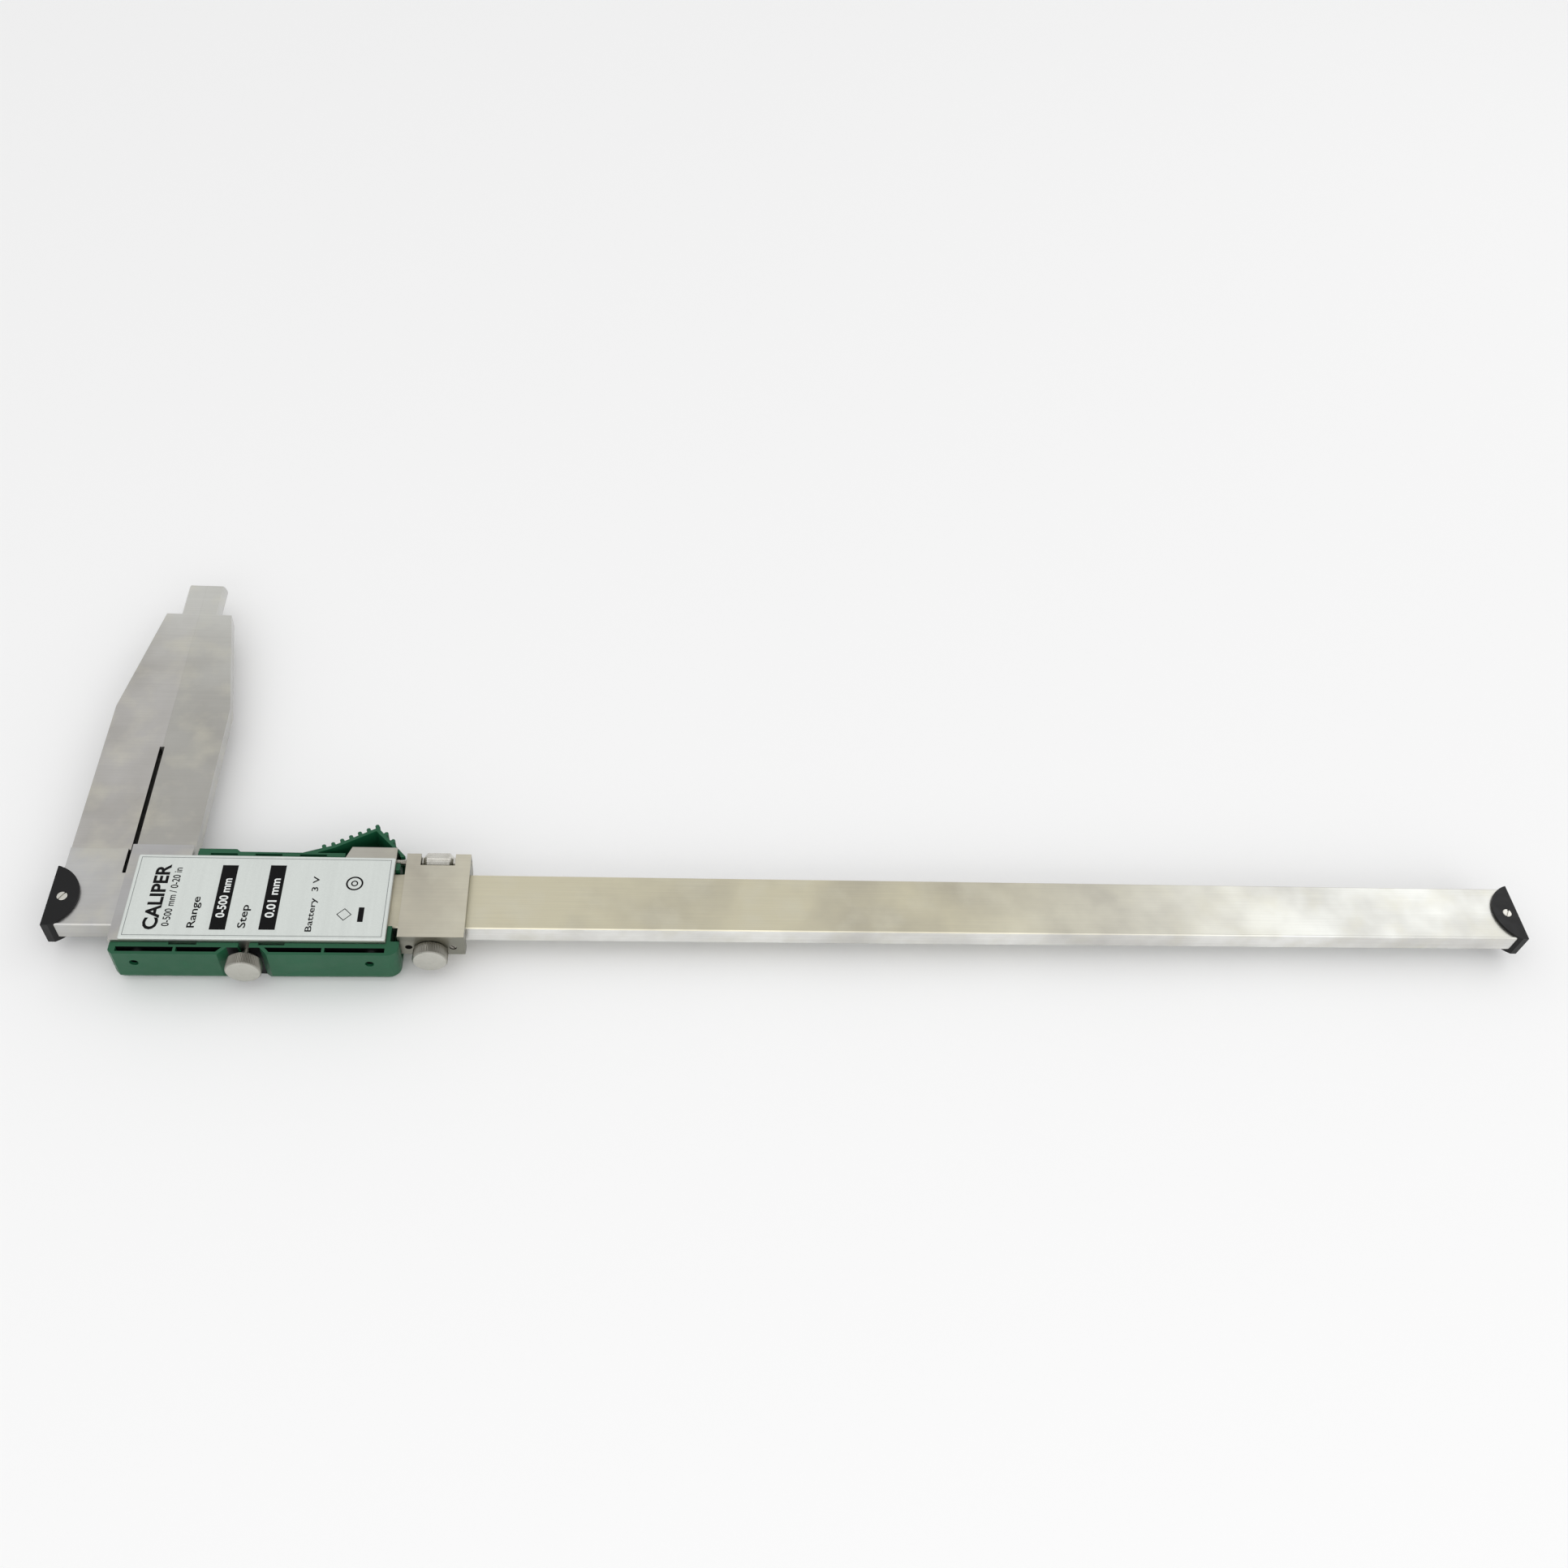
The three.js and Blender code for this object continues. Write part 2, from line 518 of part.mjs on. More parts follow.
function frontOpenings() {
  const w = WINDOW;
  const front = HOUSING.front;
  const seatOutline = roundedRectangle(
    w.left - w.seat, w.right + w.seat, w.low - w.seat, w.high + w.seat, 2.5);
  const seat = prism('z', seatOutline, front - 1, front + w.seatDepth);
  const opening = box(w.left, w.right, w.low, w.high, front - 1, front + 5);
  const buttons = BUTTON.xs.map((x) => prism('z', buttonOutline(x, 0.25), front - 1, front + 5));
  const round = (radius, depth) => bar(
    'z', [BATTERY.x, BATTERY.y], radius, front - 1, front + depth, 64);
  const battery = round(BATTERY.coverRadius - 1.4, 5);
  const batterySeat = round(BATTERY.coverRadius + 0.25, 0.9);
  return [seat, opening, ...buttons, battery, batterySeat];
}

function screwBosses() {
  const floor = HOUSING.front + HOUSING.frontWall - 0.2;
  const bosses = HOUSING_SCREWS.map(([x, y]) => bar('z', [x, y], 2.9, floor, -12.15, 24));
  const holes = HOUSING_SCREWS.map(([x, y]) => bar('z', [x, y], 1.35, -16.8, -11, 24));
  return { bosses, holes };
}

function frontHousing() {
  const { bosses, holes } = screwBosses();
  const shell = cut(add(housingShell(), farBump()), ...housingPockets());
  const raised = add(shell, thumbRestOutside(), ...bosses);
  return cut(raised, ...moatCuts(), ...housingNotches(), ...frontOpenings(), ...holes);
}

// The pocket that the frame's lug sits in.
function lugRoom() {
  return box(
    LUG.left - LUG.slant - 0.6, FRAME.right + FIT_GAP, 20, LUG.far + 0.2, HOUSING.pocketFloor, ALL_Z[1]);
}

// The thumb rest without what would enter the pockets, the electronics or the carriage's path.
function thumbRestOutside() {
  const frameRoom = box(0, FRAME.right + FIT_GAP, 20, HOUSING.rimFar, HOUSING.pocketFloor, ALL_Z[1]);
  const cavityRoom = box(0, CAVITY.right, 20, CAVITY.far, ...ALL_Z);
  const carriageRoom = box(CARRIAGE.left - 1.3, 140, 0, 60, CARRIAGE.bottom - 2.2, ALL_Z[1]);
  const rodRoom = box(FRAME.right - 1, 140, NUT.y - 2, NUT.y + FINE_ROD.radius + 0.3, -3, ALL_Z[1]);
  return cut(thumbRest(), lugRoom(), frameRoom, cavityRoom, carriageRoom, rodRoom);
}

// ------------------------------------------------------------- display and electronics
const buttonOutline = (x, grow) => roundedRectangle(
  x - BUTTON.long / 2 - grow, x + BUTTON.long / 2 + grow,
  BUTTON.y - BUTTON.wide / 2 - grow, BUTTON.y + BUTTON.wide / 2 + grow, 2.6 + grow);

function button(x) {
  const front = HOUSING.front + BUTTON.sink;
  const cap = prism('z', buttonOutline(x, 0), front, front + 3);
  const stemEnd = BOARD.top - BOARD.thick - 1.5;
  const stem = box(x - 1.5, x + 1.5, BUTTON.y - 1.5, BUTTON.y + 1.5, front + 2, stemEnd);
  return cap.add(stem);
}

const tactSwitch = (x) => box(
  x - 2, x + 2, BUTTON.y - 2, BUTTON.y + 2, BOARD.top - BOARD.thick - 0.85, BOARD.top - BOARD.thick - 0.05);

function keeperPlate() {
  const k = KEEPER;
  const plate = prism('z', roundedRectangle(k.left, k.right, k.near, k.far, 2), k.bottom, k.top);
  const holes = HOUSING_SCREWS.map(([x, y]) => bar('z', [x, y], 1.4, -20, 0, 24));
  const w = KEEPER_WINDOW;
  return cut(plate, ...holes, box(w.left, w.right, w.near, w.far, -20, 0));
}

// The board carries the pick-up electrodes in a raised field that fills the keeper's window.
function circuitBoard() {
  const b = BOARD;
  const board = prism('z', roundedRectangle(b.left, b.right, b.near, b.far, 2), b.top - b.thick, b.top);
  const w = KEEPER_WINDOW;
  const edge = 0.6;
  const pickUp = box(
    w.left + edge, w.right - edge, w.near + edge, w.far - edge, b.top - 0.2, KEEPER.top - 0.1);
  const corners = HOUSING_SCREWS.map(([x, y]) => bar('z', [x, y], 3.3, -20, -5, 24));
  return cut(board.add(pickUp), ...corners);
}

function displayWindow() {
  const w = WINDOW;
  const edge = w.seat - 0.15;
  return prism('z', roundedRectangle(
    w.left - edge, w.right + edge, w.low - edge, w.high + edge, 2.35),
  HOUSING.front + 0.1, HOUSING.front + w.seatDepth - 0.03);
}

const lcdPanel = () => box(
  WINDOW.left - 0.8, WINDOW.right + 0.8, WINDOW.low - 1, WINDOW.high + 0.8,
  HOUSING.front + HOUSING.frontWall + 0.1, HOUSING.front + HOUSING.frontWall + 2);

const zebraStrip = () => box(
  WINDOW.left + 4, WINDOW.right - 4, WINDOW.high - 3, WINDOW.high - 0.8,
  HOUSING.front + HOUSING.frontWall + 2.05, BOARD.top - BOARD.thick - 0.05);

const batteryCell = () => turned('z', [BATTERY.x, BATTERY.y], [
  [0, CELL.front], [BATTERY.radius - 0.4, CELL.front], [BATTERY.radius, CELL.front + 0.4],
  [BATTERY.radius, CELL.step], [BATTERY.radius - 1.2, CELL.step], [BATTERY.radius - 1.4, CELL.back],
  [0, CELL.back],
], 48);

// Bent strips between the cell and the board: one behind the cell and one beside its rim.
const CONTACT = { half: 4, wide: 2, thick: 0.3, boardZ: BOARD.top - BOARD.thick - 0.05 };

function negativeContact() {
  const c = CONTACT;
  const [left, near, far] = [BATTERY.x - c.half, BATTERY.y - c.wide, BATTERY.y + c.wide];
  const leaf = box(left, BATTERY.x + c.half, near, far, CELL.back + 0.1, CELL.back + 0.1 + c.thick);
  return add(leaf, box(left, left + 1, near, far, CELL.back + 0.2, c.boardZ));
}

function positiveContact() {
  const c = CONTACT;
  const near = BATTERY.y + BATTERY.radius + 0.2;
  const sides = [BATTERY.x - c.half + 1, BATTERY.x + c.half - 1];
  const wall = box(...sides, near, near + c.thick, CELL.front + c.thick, c.boardZ);
  return add(wall, box(...sides, near, near + c.wide, c.boardZ - c.thick, c.boardZ));
}

function batteryCover() {
  const b = BATTERY;
  const front = HOUSING.front;
  const disc = turned('z', [b.x, b.y], [
    [0, front + 0.1], [b.coverRadius - 0.3, front + 0.1], [b.coverRadius, front + 0.4],
    [b.coverRadius, front + 0.85], [b.coverRadius - 1.6, front + 0.85], [b.coverRadius - 1.6, front + 1.9],
    [0, front + 1.9],
  ], 64);
  const coinSlot = box(b.x - 6, b.x + 6, b.y - 0.9, b.y + 0.9, front - 1, front + 0.9);
  return disc.subtract(coinSlot);
}

// -------------------------------------------------------------- fine-adjust carriage
const plateScrews = () => [CARRIAGE.left + PLATE_SCREW.fromEnd, CARRIAGE.right - PLATE_SCREW.fromEnd]
  .flatMap((x) => PLATE_SCREW.ys.map((y) => [x, y]));

const plateScrewHole = ([x, y], radius, to) => bar('z', [x, y], radius + FIT_GAP, ALL_Z[0], to, 16);

function carriageBlock() {
  const c = CARRIAGE;
  const section = [
    [c.near, c.top], [c.near, c.bottom + c.chamferZ], [c.near + c.chamferY, c.bottom],
    [c.far - c.chamferY, c.bottom], [c.far, c.bottom + c.chamferZ], [c.far, c.top],
  ];
  const block = prism('x', section, c.left, c.right);
  const channel = box(c.left - 5, c.right + 5, CHANNEL.near, CHANNEL.far, ALL_Z[0], CHANNEL.top);
  const nutSlot = box(NUT_SLOT.left, NUT_SLOT.right, NUT_SLOT.near, 60, NUT_SLOT.floor, 20);
  const rodHole = bar('x', [NUT.y, NUT.z], FINE_ROD.radius + FIT_GAP, c.left - 5, c.right + 5, 24);
  const lockHole = bar('y', [CARRIAGE_KNOB.x, MID_Z], KNOB.shankRadius + FIT_GAP, -12, 0, 24);
  const gibHoles = CARRIAGE_GIB_SCREWS.map(
    (x) => bar('y', [x, CARRIAGE_GIB_Z], GIB_SCREW.radius + FIT_GAP, -12, 0, 24));
  const screwHoles = plateScrews().map(
    (spot) => plateScrewHole(spot, PLATE_SCREW.shankRadius, c.bottom + PLATE_SCREW.depth + 0.2));
  return cut(block, channel, nutSlot, rodHole, lockHole, ...gibHoles, ...screwHoles);
}

function carriagePlate() {
  const p = CARRIAGE_PLATE;
  const top = CARRIAGE.bottom - 0.05;
  const plate = prism('z', roundedRectangle(
    CARRIAGE.left + p.inset, CARRIAGE.right - p.inset, p.near, p.far, 1.2), top - p.thick, top);
  const holes = plateScrews().map((spot) => plateScrewHole(spot, PLATE_SCREW.shankRadius, 0));
  const seats = plateScrews().map((spot) => plateScrewHole(spot, PLATE_SCREW.headRadius, top - 0.7));
  return cut(plate, ...holes, ...seats);
}

function plateScrew([x, y]) {
  const face = CARRIAGE.bottom - 0.05 - CARRIAGE_PLATE.thick;
  const head = bar('z', [x, y], PLATE_SCREW.headRadius, face + 0.05, face + 0.7, 16);
  const end = CARRIAGE.bottom + PLATE_SCREW.depth;
  const shank = bar('z', [x, y], PLATE_SCREW.shankRadius, face + 0.5, end, 16);
  const slot = box(x - 3, x + 3, y - 0.2, y + 0.2, face - 1, face + 0.4);
  return head.add(shank).subtract(slot);
}

function fineNut() {
  const n = NUT;
  const bore = FINE_ROD.radius + FIT_GAP;
  const [left, right] = [NUT_SLOT.left + FIT_GAP, NUT_SLOT.right - FIT_GAP];
  const profile = [
    [bore, left], [n.hubRadius, left], [n.hubRadius, n.left], [n.radius - n.chamfer, n.left],
    [n.radius, n.left + n.chamfer], [n.radius, n.right - n.chamfer], [n.radius - n.chamfer, n.right],
    [n.hubRadius, n.right], [n.hubRadius, right], [bore, right], [bore, left],
  ];
  return turned('x', [n.y, n.z], profile, 48);
}

// ------------------------------------------------------------------------- assembly
part('main_beam', beam(), STEEL);
part('scale_strip', box(
  SCALE.left, SCALE.right, SCALE.low, SCALE.high,
  -BEAM.thick + 0.05, -BEAM.thick + 0.05 + SCALE.thick), SCALE_GREY);
addEndCaps();

part('slider_frame', sliderFrame(), STEEL);
part('back_label', labelPlate(), LABEL_SILVER);
part('keeper_plate', keeperPlate(), STEEL);
part('slider_gib', gibStrip(FRAME.left + GIB.endGap, FRAME.right - GIB.endGap), BRASS);
SLIDER_GIB_SCREWS.forEach((x, i) => {
  part(`slider_gib_screw_${i + 1}`, gibScrew(x, GIB.near - 0.05, MID_Z), STEEL);
});
part('slider_lock_pad', lockPad(SLIDER_KNOB.x), BRASS);
part('slider_lock_screw', lockKnob(SLIDER_KNOB.x, SLIDER_KNOB.back), POLISHED);
part('front_housing', frontHousing(), GREEN);
HOUSING_SCREWS.forEach((spot, i) => part(`housing_screw_${i + 1}`, screwShank(spot), STEEL));
part('fine_adjust_rod', fineRod(), POLISHED);

part('circuit_board', circuitBoard(), BOARD_GREEN);
part('display_window', displayWindow(), CLEAR);
part('lcd_panel', lcdPanel(), LCD_GREY);
part('zebra_strip', zebraStrip(), RUBBER);
['power', 'unit', 'zero'].forEach((name, i) => {
  part(`${name}_button`, button(BUTTON.xs[i]), RUBBER);
  part(`${name}_switch`, tactSwitch(BUTTON.xs[i]), BLACK);
});
part('coin_cell', batteryCell(), POLISHED);
part('cell_contact_negative', negativeContact(), POLISHED);
part('cell_contact_positive', positiveContact(), POLISHED);
part('battery_cover', batteryCover(), BLACK);

part('carriage_block', carriageBlock(), STEEL);
part('carriage_plate', carriagePlate(), STEEL);
plateScrews().forEach((spot, i) => part(`carriage_plate_screw_${i + 1}`, plateScrew(spot), STEEL));
part('carriage_gib', gibStrip(CARRIAGE.left + GIB.endGap, CARRIAGE.right - GIB.endGap), BRASS);
CARRIAGE_GIB_SCREWS.forEach((x, i) => {
  const screw = gibScrew(x, GIB.near - 0.05, CARRIAGE_GIB_Z, CARRIAGE_GIB_LENGTHS[i]);
  part(`carriage_gib_screw_${i + 1}`, screw, STEEL);
});
part('carriage_lock_pad', lockPad(CARRIAGE_KNOB.x), BRASS);
part('carriage_lock_screw', lockKnob(CARRIAGE_KNOB.x, CARRIAGE_KNOB.back), POLISHED);
part('fine_adjust_nut', fineNut(), POLISHED);

const outline = new THREE.Box3().setFromObject(group);
const centre = outline.getCenter(new THREE.Vector3());
group.position.set(-centre.x, -centre.y, -outline.min.z);
group.updateMatrixWorld(true);

export default group;
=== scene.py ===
"""Looks of the long-jaw digital caliper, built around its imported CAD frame.

Metres, in the frame's own axes: X runs along the beam away from the jaws, Y towards the jaw tips,
and Z up, out of the beam's plain back. The tool lies on its display side.
"""

import json
import math

import bmesh
import bpy
from mathutils import Matrix, Vector


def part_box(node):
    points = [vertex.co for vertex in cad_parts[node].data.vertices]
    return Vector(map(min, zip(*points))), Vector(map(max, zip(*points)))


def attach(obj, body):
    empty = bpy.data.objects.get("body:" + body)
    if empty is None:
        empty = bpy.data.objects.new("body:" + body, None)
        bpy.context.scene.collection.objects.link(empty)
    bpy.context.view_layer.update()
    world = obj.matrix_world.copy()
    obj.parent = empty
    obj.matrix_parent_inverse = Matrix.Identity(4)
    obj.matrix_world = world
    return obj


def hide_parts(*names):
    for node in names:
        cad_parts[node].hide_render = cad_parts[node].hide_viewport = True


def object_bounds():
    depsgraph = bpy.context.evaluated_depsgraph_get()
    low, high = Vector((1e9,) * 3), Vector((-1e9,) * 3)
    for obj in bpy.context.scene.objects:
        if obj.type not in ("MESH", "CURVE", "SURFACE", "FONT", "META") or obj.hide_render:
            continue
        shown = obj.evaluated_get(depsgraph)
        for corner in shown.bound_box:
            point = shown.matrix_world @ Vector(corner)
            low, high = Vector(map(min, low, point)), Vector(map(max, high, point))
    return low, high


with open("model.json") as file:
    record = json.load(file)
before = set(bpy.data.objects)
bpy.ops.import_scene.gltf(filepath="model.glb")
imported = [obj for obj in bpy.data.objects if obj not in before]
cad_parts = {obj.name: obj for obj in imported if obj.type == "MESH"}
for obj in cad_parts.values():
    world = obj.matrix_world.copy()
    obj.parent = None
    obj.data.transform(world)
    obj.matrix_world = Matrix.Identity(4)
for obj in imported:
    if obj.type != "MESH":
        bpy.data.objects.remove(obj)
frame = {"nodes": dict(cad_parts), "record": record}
cad_low, cad_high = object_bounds()

MM = 0.001
# Printed marks stand this far off their surface, and are this thick.
PRINT_RISE = 0.012 * MM
PRINT_THICK = 0.02 * MM
X_AXIS = Vector((1, 0, 0))
Y_AXIS = Vector((0, 1, 0))
Z_AXIS = Vector((0, 0, 1))

SLOT_OF = {entry["node"]: entry["material_slot"] for entry in frame["record"]["subparts"]}
BODY_OF = {
    node: body for body, nodes in frame["record"]["behaviour"]["bodies"].items() for node in nodes}


def corners(node):
    """The low and the high corner of a CAD node's box."""
    low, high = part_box(node)
    return Vector(low), Vector(high)


def middle(node):
    low, high = corners(node)
    return (low + high) / 2


def jaw_faces():
    """The X where the closed measuring faces meet, from the outer part of the slider's jaw."""
    jaw_start = corners("back_label")[1].y + 100 * MM
    slider = frame["nodes"]["slider_frame"].data
    return min(vertex.co.x for vertex in slider.vertices if vertex.co.y > jaw_start)


# ------------------------------------------------------------------ camera, floor and light
def add_camera():
    """The camera, fitted to the viewing angle."""
    data = bpy.data.cameras.new("camera")
    data.sensor_width = 36
    data.lens = 33.16
    camera = bpy.data.objects.new("camera", data)
    camera.location = (-0.104763, -0.476485, 0.588283)
    camera.rotation_euler = (0.689, -0.106, -0.059)
    bpy.context.scene.collection.objects.link(camera)
    bpy.context.scene.camera = camera


def add_floor():
    """A plain pale floor, a hair below the display face that the tool lies on."""
    reach = 6
    data = bpy.data.meshes.new("floor")
    data.from_pydata(
        [(-reach, -reach, 0), (reach, -reach, 0), (reach, reach, 0), (-reach, reach, 0)], [], [(0, 1, 2, 3)])
    floor = bpy.data.objects.new("floor", data)
    floor.location.z = cad_low.z - 0.2 * MM
    bpy.context.scene.collection.objects.link(floor)
    material = bpy.data.materials.new("floor")
    material.use_nodes = True
    shader = material.node_tree.nodes["Principled BSDF"]
    shader.inputs["Base Color"].default_value = (0.94, 0.94, 0.94, 1)
    shader.inputs["Roughness"].default_value = 0.9
    data.materials.append(material)


def add_area_light(name, place, aim, size, power):
    """A rectangular lamp, size in metres and power in watts, that points at aim."""
    data = bpy.data.lights.new(name, "AREA")
    data.shape = "RECTANGLE"
    data.size, data.size_y = size
    data.energy = power
    light = bpy.data.objects.new(name, data)
    light.location = place
    light.rotation_euler = (Vector(aim) - Vector(place)).to_track_quat("-Z", "Y").to_euler()
    bpy.context.scene.collection.objects.link(light)


def add_world():
    """An even white studio all round."""
    world = bpy.data.worlds.new("studio")
    world.use_nodes = True
    background = world.node_tree.nodes["Background"]
    background.inputs["Color"].default_value = (1, 1, 1, 1)
    background.inputs["Strength"].default_value = 0.87
    bpy.context.scene.world = world
    bpy.context.scene.view_settings.view_transform = "Standard"


# ------------------------------------------------------------------ material helpers
class Surface:
    """A material under construction: its nodes are made and linked in one call each."""

    def __init__(self, name):
        self.material = bpy.data.materials.new(name)
        self.material.use_nodes = True
        self.tree = self.material.node_tree
        self.shader = self.tree.nodes["Principled BSDF"]
        self.place = self.node("ShaderNodeTexCoord").outputs["Object"]

    def node(self, kind, links=None, **settings):
        made = self.tree.nodes.new(kind)
        for name, value in settings.items():
            setattr(made, name, value)
        for name, value in (links or {}).items():
            self.feed(made.inputs[name], value)
        return made

    def feed(self, socket, value):
        if isinstance(value, bpy.types.NodeSocket):
            self.tree.links.new(value, socket)
        else:
            socket.default_value = value

    def set(self, **values):
        for name, value in values.items():
            self.feed(self.shader.inputs[name.replace("_", " ")], value)

    def stretched(self, scale):
        """The place, scaled by its own factor along each axis."""
        return self.node("ShaderNodeMapping", {"Vector": self.place, "Scale": scale}).outputs["Vector"]

    def noise(self, scale, detail=3.0, vector=None):
        links = {"Vector": vector or self.place, "Scale": scale, "Detail": detail}
        return self.node("ShaderNodeTexNoise", links).outputs["Fac"]

    def spread(self, value, low, high, start=0.3, end=0.7):
        """Maps start to end onto low to high, and holds the ends."""
        links = {"Value": value, "From Min": start, "From Max": end, "To Min": low, "To Max": high}
        return self.node("ShaderNodeMapRange", links).outputs["Result"]

    def mix(self, factor, first, second):
        made = self.node("ShaderNodeMix", data_type="RGBA")
        self.feed(made.inputs[0], factor)
        self.feed(made.inputs[6], first)
        self.feed(made.inputs[7], second)
        return made.outputs[2]

    def along(self, axis):
        parts = self.node("ShaderNodeSeparateXYZ", {"Vector": self.place})
        return parts.outputs[axis]

    def facing(self, axis):
        """How far the surface faces along an axis, from 0 to 1, either way round."""
        normal = self.node("ShaderNodeNewGeometry").outputs["Normal"]
        part = self.node("ShaderNodeSeparateXYZ", {"Vector": normal}).outputs[axis]
        return self.node("ShaderNodeMath", {0: part}, operation="ABSOLUTE").outputs["Value"]

    def bump(self, height, distance, strength):
        links = {"Height": height, "Distance": distance, "Strength": strength}
        self.set(Normal=self.node("ShaderNodeBump", links).outputs["Normal"])


def srgb(red, green, blue):
    def linear(value):
        value /= 255
        return value / 12.92 if value <= 0.04045 else ((value + 0.055) / 1.055) ** 2.4
    return (linear(red), linear(green), linear(blue), 1)


# ------------------------------------------------------------------ materials, one per slot
# The tone drifts with X past the jaws and towards the far end, and with Y towards the noses.
PAST_JAWS = (-0.28, -0.20)
TO_FAR_END = (0.06, 0.25)
TO_NOSES = (0.03, 0.12)


def ground_steel(name, near_jaws, middle_tone, far_tone, jaw, wall):
    """Ground tool steel with soft clouds and faint grinding lines.

    Its tone drifts along the tool and differs on the jaw plates. The walls get painted light, a lighter or
    darker tone of their own for how the light falls on them, and the walls of the narrow gaps between the
    jaws get painted shade.
    """
    s = Surface(name)
    clouds = s.noise(20, 4)
    stains = s.noise(60, 5)
    lines = s.noise(1.0, 4, s.stretched((22, 1900, 1900)))
    past_jaws = s.spread(s.along("X"), 0, 1, *PAST_JAWS)
    along = s.mix(past_jaws, near_jaws, middle_tone)
    flat = s.mix(s.spread(s.along("X"), 0, 1, *TO_FAR_END), along, far_tone)
    plate = s.spread(s.along("Y"), 0, 1, JAW_PLATE_Y, JAW_PLATE_Y + 0.1 * MM)
    tip = s.mix(s.spread(s.along("Y"), 0, 1, *TO_NOSES), jaw, srgb(208, 208, 203))
    toned = s.mix(plate, flat, tip)
    # Painted light: walls that don't face Z get their own lighter or darker tone for how the light falls on
    # them.
    painted_wall_light = s.mix(past_jaws, srgb(208, 208, 206), wall)
    with_wall_light = s.mix(s.spread(s.facing("Z"), 1, 0, 0.3, 0.75), toned, painted_wall_light)
    cloudy = s.mix(s.spread(clouds, 0, 0.45, 0.40, 0.66), with_wall_light, srgb(152, 147, 140))
    stained = s.mix(s.spread(stains, 0, 0.36, 0.48, 0.70), cloudy, srgb(216, 213, 196))
    ruled = s.mix(s.spread(lines, 0, 0.10), stained, srgb(140, 137, 131))
    # Painted shade: the walls of the narrow gaps between the jaws turn near-black, standing in for the shade
    # deep in those gaps.
    gap_shaded = s.mix(relief_walls(s), ruled, srgb(46, 44, 41))
    s.set(Base_Color=gap_shaded, Metallic=1.0, Roughness=s.spread(clouds, 0.34, 0.44))
    s.bump(lines, 0.00001, 0.2)
    return s.material


def relief_walls(s):
    """Painted shade: 1 on the walls of the two narrow gaps between the jaws, and 0 elsewhere; there the
    steel is painted near-black for the shade deep in the gaps.
    """
    nearest, farthest = 0.6 * MM, 1.85 * MM
    gap_start = corners("main_beam")[0].y + 20 * MM

    def maths(operation, first, second):
        return s.node("ShaderNodeMath", {0: first, 1: second}, operation=operation).outputs["Value"]

    off = maths("ABSOLUTE", maths("SUBTRACT", s.along("X"), jaw_faces()), 0.0)
    beside = maths("MULTIPLY", maths("GREATER_THAN", off, nearest), maths("LESS_THAN", off, farthest))
    across = maths("GREATER_THAN", s.facing("X"), 0.7)
    beyond = maths("GREATER_THAN", s.along("Y"), gap_start)
    return maths("MULTIPLY", beside, maths("MULTIPLY", across, beyond))


def polished_steel():
    """Turned bright steel with a few dull spots."""
    s = Surface("polished_steel")
    spots = s.noise(240, 3)
    fine = s.noise(2400, 2)
    base = s.mix(s.spread(spots, 0, 0.4, 0.5, 0.75), srgb(207, 205, 198), srgb(158, 154, 144))
    s.set(Base_Color=base, Metallic=1.0, Roughness=s.spread(fine, 0.24, 0.32))
    return s.material


def turned_knob(name, centre):
    """Satin knob: faint turning rings on the bright face and a darker knurled side."""
    s = Surface(name)
    about = s.node("ShaderNodeMapping", {"Vector": s.place, "Location": tuple(-centre)}).outputs["Vector"]
    rings = s.node(
        "ShaderNodeTexWave", {"Vector": about, "Scale": 420.0, "Distortion": 0.6, "Detail": 2.0},
        wave_type="RINGS", rings_direction="Y").outputs["Fac"]
    spots = s.noise(320, 3)
    face = s.mix(s.spread(spots, 0, 0.3, 0.5, 0.75), srgb(201, 200, 192), srgb(172, 170, 160))
    ringed = s.mix(s.spread(rings, 0, 0.12, 0, 1), face, srgb(150, 148, 140))
    base = s.mix(s.spread(s.facing("Y"), 0, 1, 0.15, 0.7), srgb(138, 136, 128), ringed)
    s.set(Base_Color=base, Metallic=1.0, Roughness=s.spread(spots, 0.3, 0.38))
    s.bump(rings, 0.00001, 0.15)
    return s.material


def screw_steel():
    """Small screw heads with bright and dull patches."""
    s = Surface("screw_steel")
    spots = s.noise(700, 3)
    base = s.mix(s.spread(spots, 0, 0.6), srgb(172, 168, 160), srgb(118, 113, 104))
    s.set(Base_Color=base, Metallic=1.0, Roughness=s.spread(spots, 0.3, 0.46))
    return s.material


def label_silver():
    """Matt silver plate, with faint rolled streaks across the beam."""
    s = Surface("label_silver")
    streaks = s.noise(1.0, 3, s.stretched((420, 14, 14)))
    specks = s.noise(1500, 2)
    base = s.mix(s.spread(streaks, 0, 0.5), srgb(211, 216, 212), srgb(223, 228, 224))
    fine = s.mix(s.spread(specks, 0, 0.12), base, srgb(172, 178, 174))
    s.set(Base_Color=fine, Metallic=0.25, Roughness=s.spread(streaks, 0.42, 0.55))
    s.bump(specks, 0.00001, 0.15)
    return s.material


def moulded(name, colour, worn, rough, grain=1600, gloss=0.35):
    """Injection moulded plastic: a fine grain, a slow drift in shade and a few rubbed spots."""
    s = Surface(name)
    drift = s.noise(30, 2)
    fine = s.noise(grain, 2)
    rubbed = s.noise(190, 5)
    shade = s.mix(s.spread(drift, 0, 0.35), colour, worn)
    marked = s.mix(s.spread(rubbed, 0, 0.35, 0.58, 0.74), shade, worn)
    s.set(Base_Color=marked, Roughness=s.spread(rubbed, rough - 0.05, rough + 0.1))
    s.set(Specular_IOR_Level=gloss)
    s.bump(fine, 0.00003, 0.25)
    return s.material


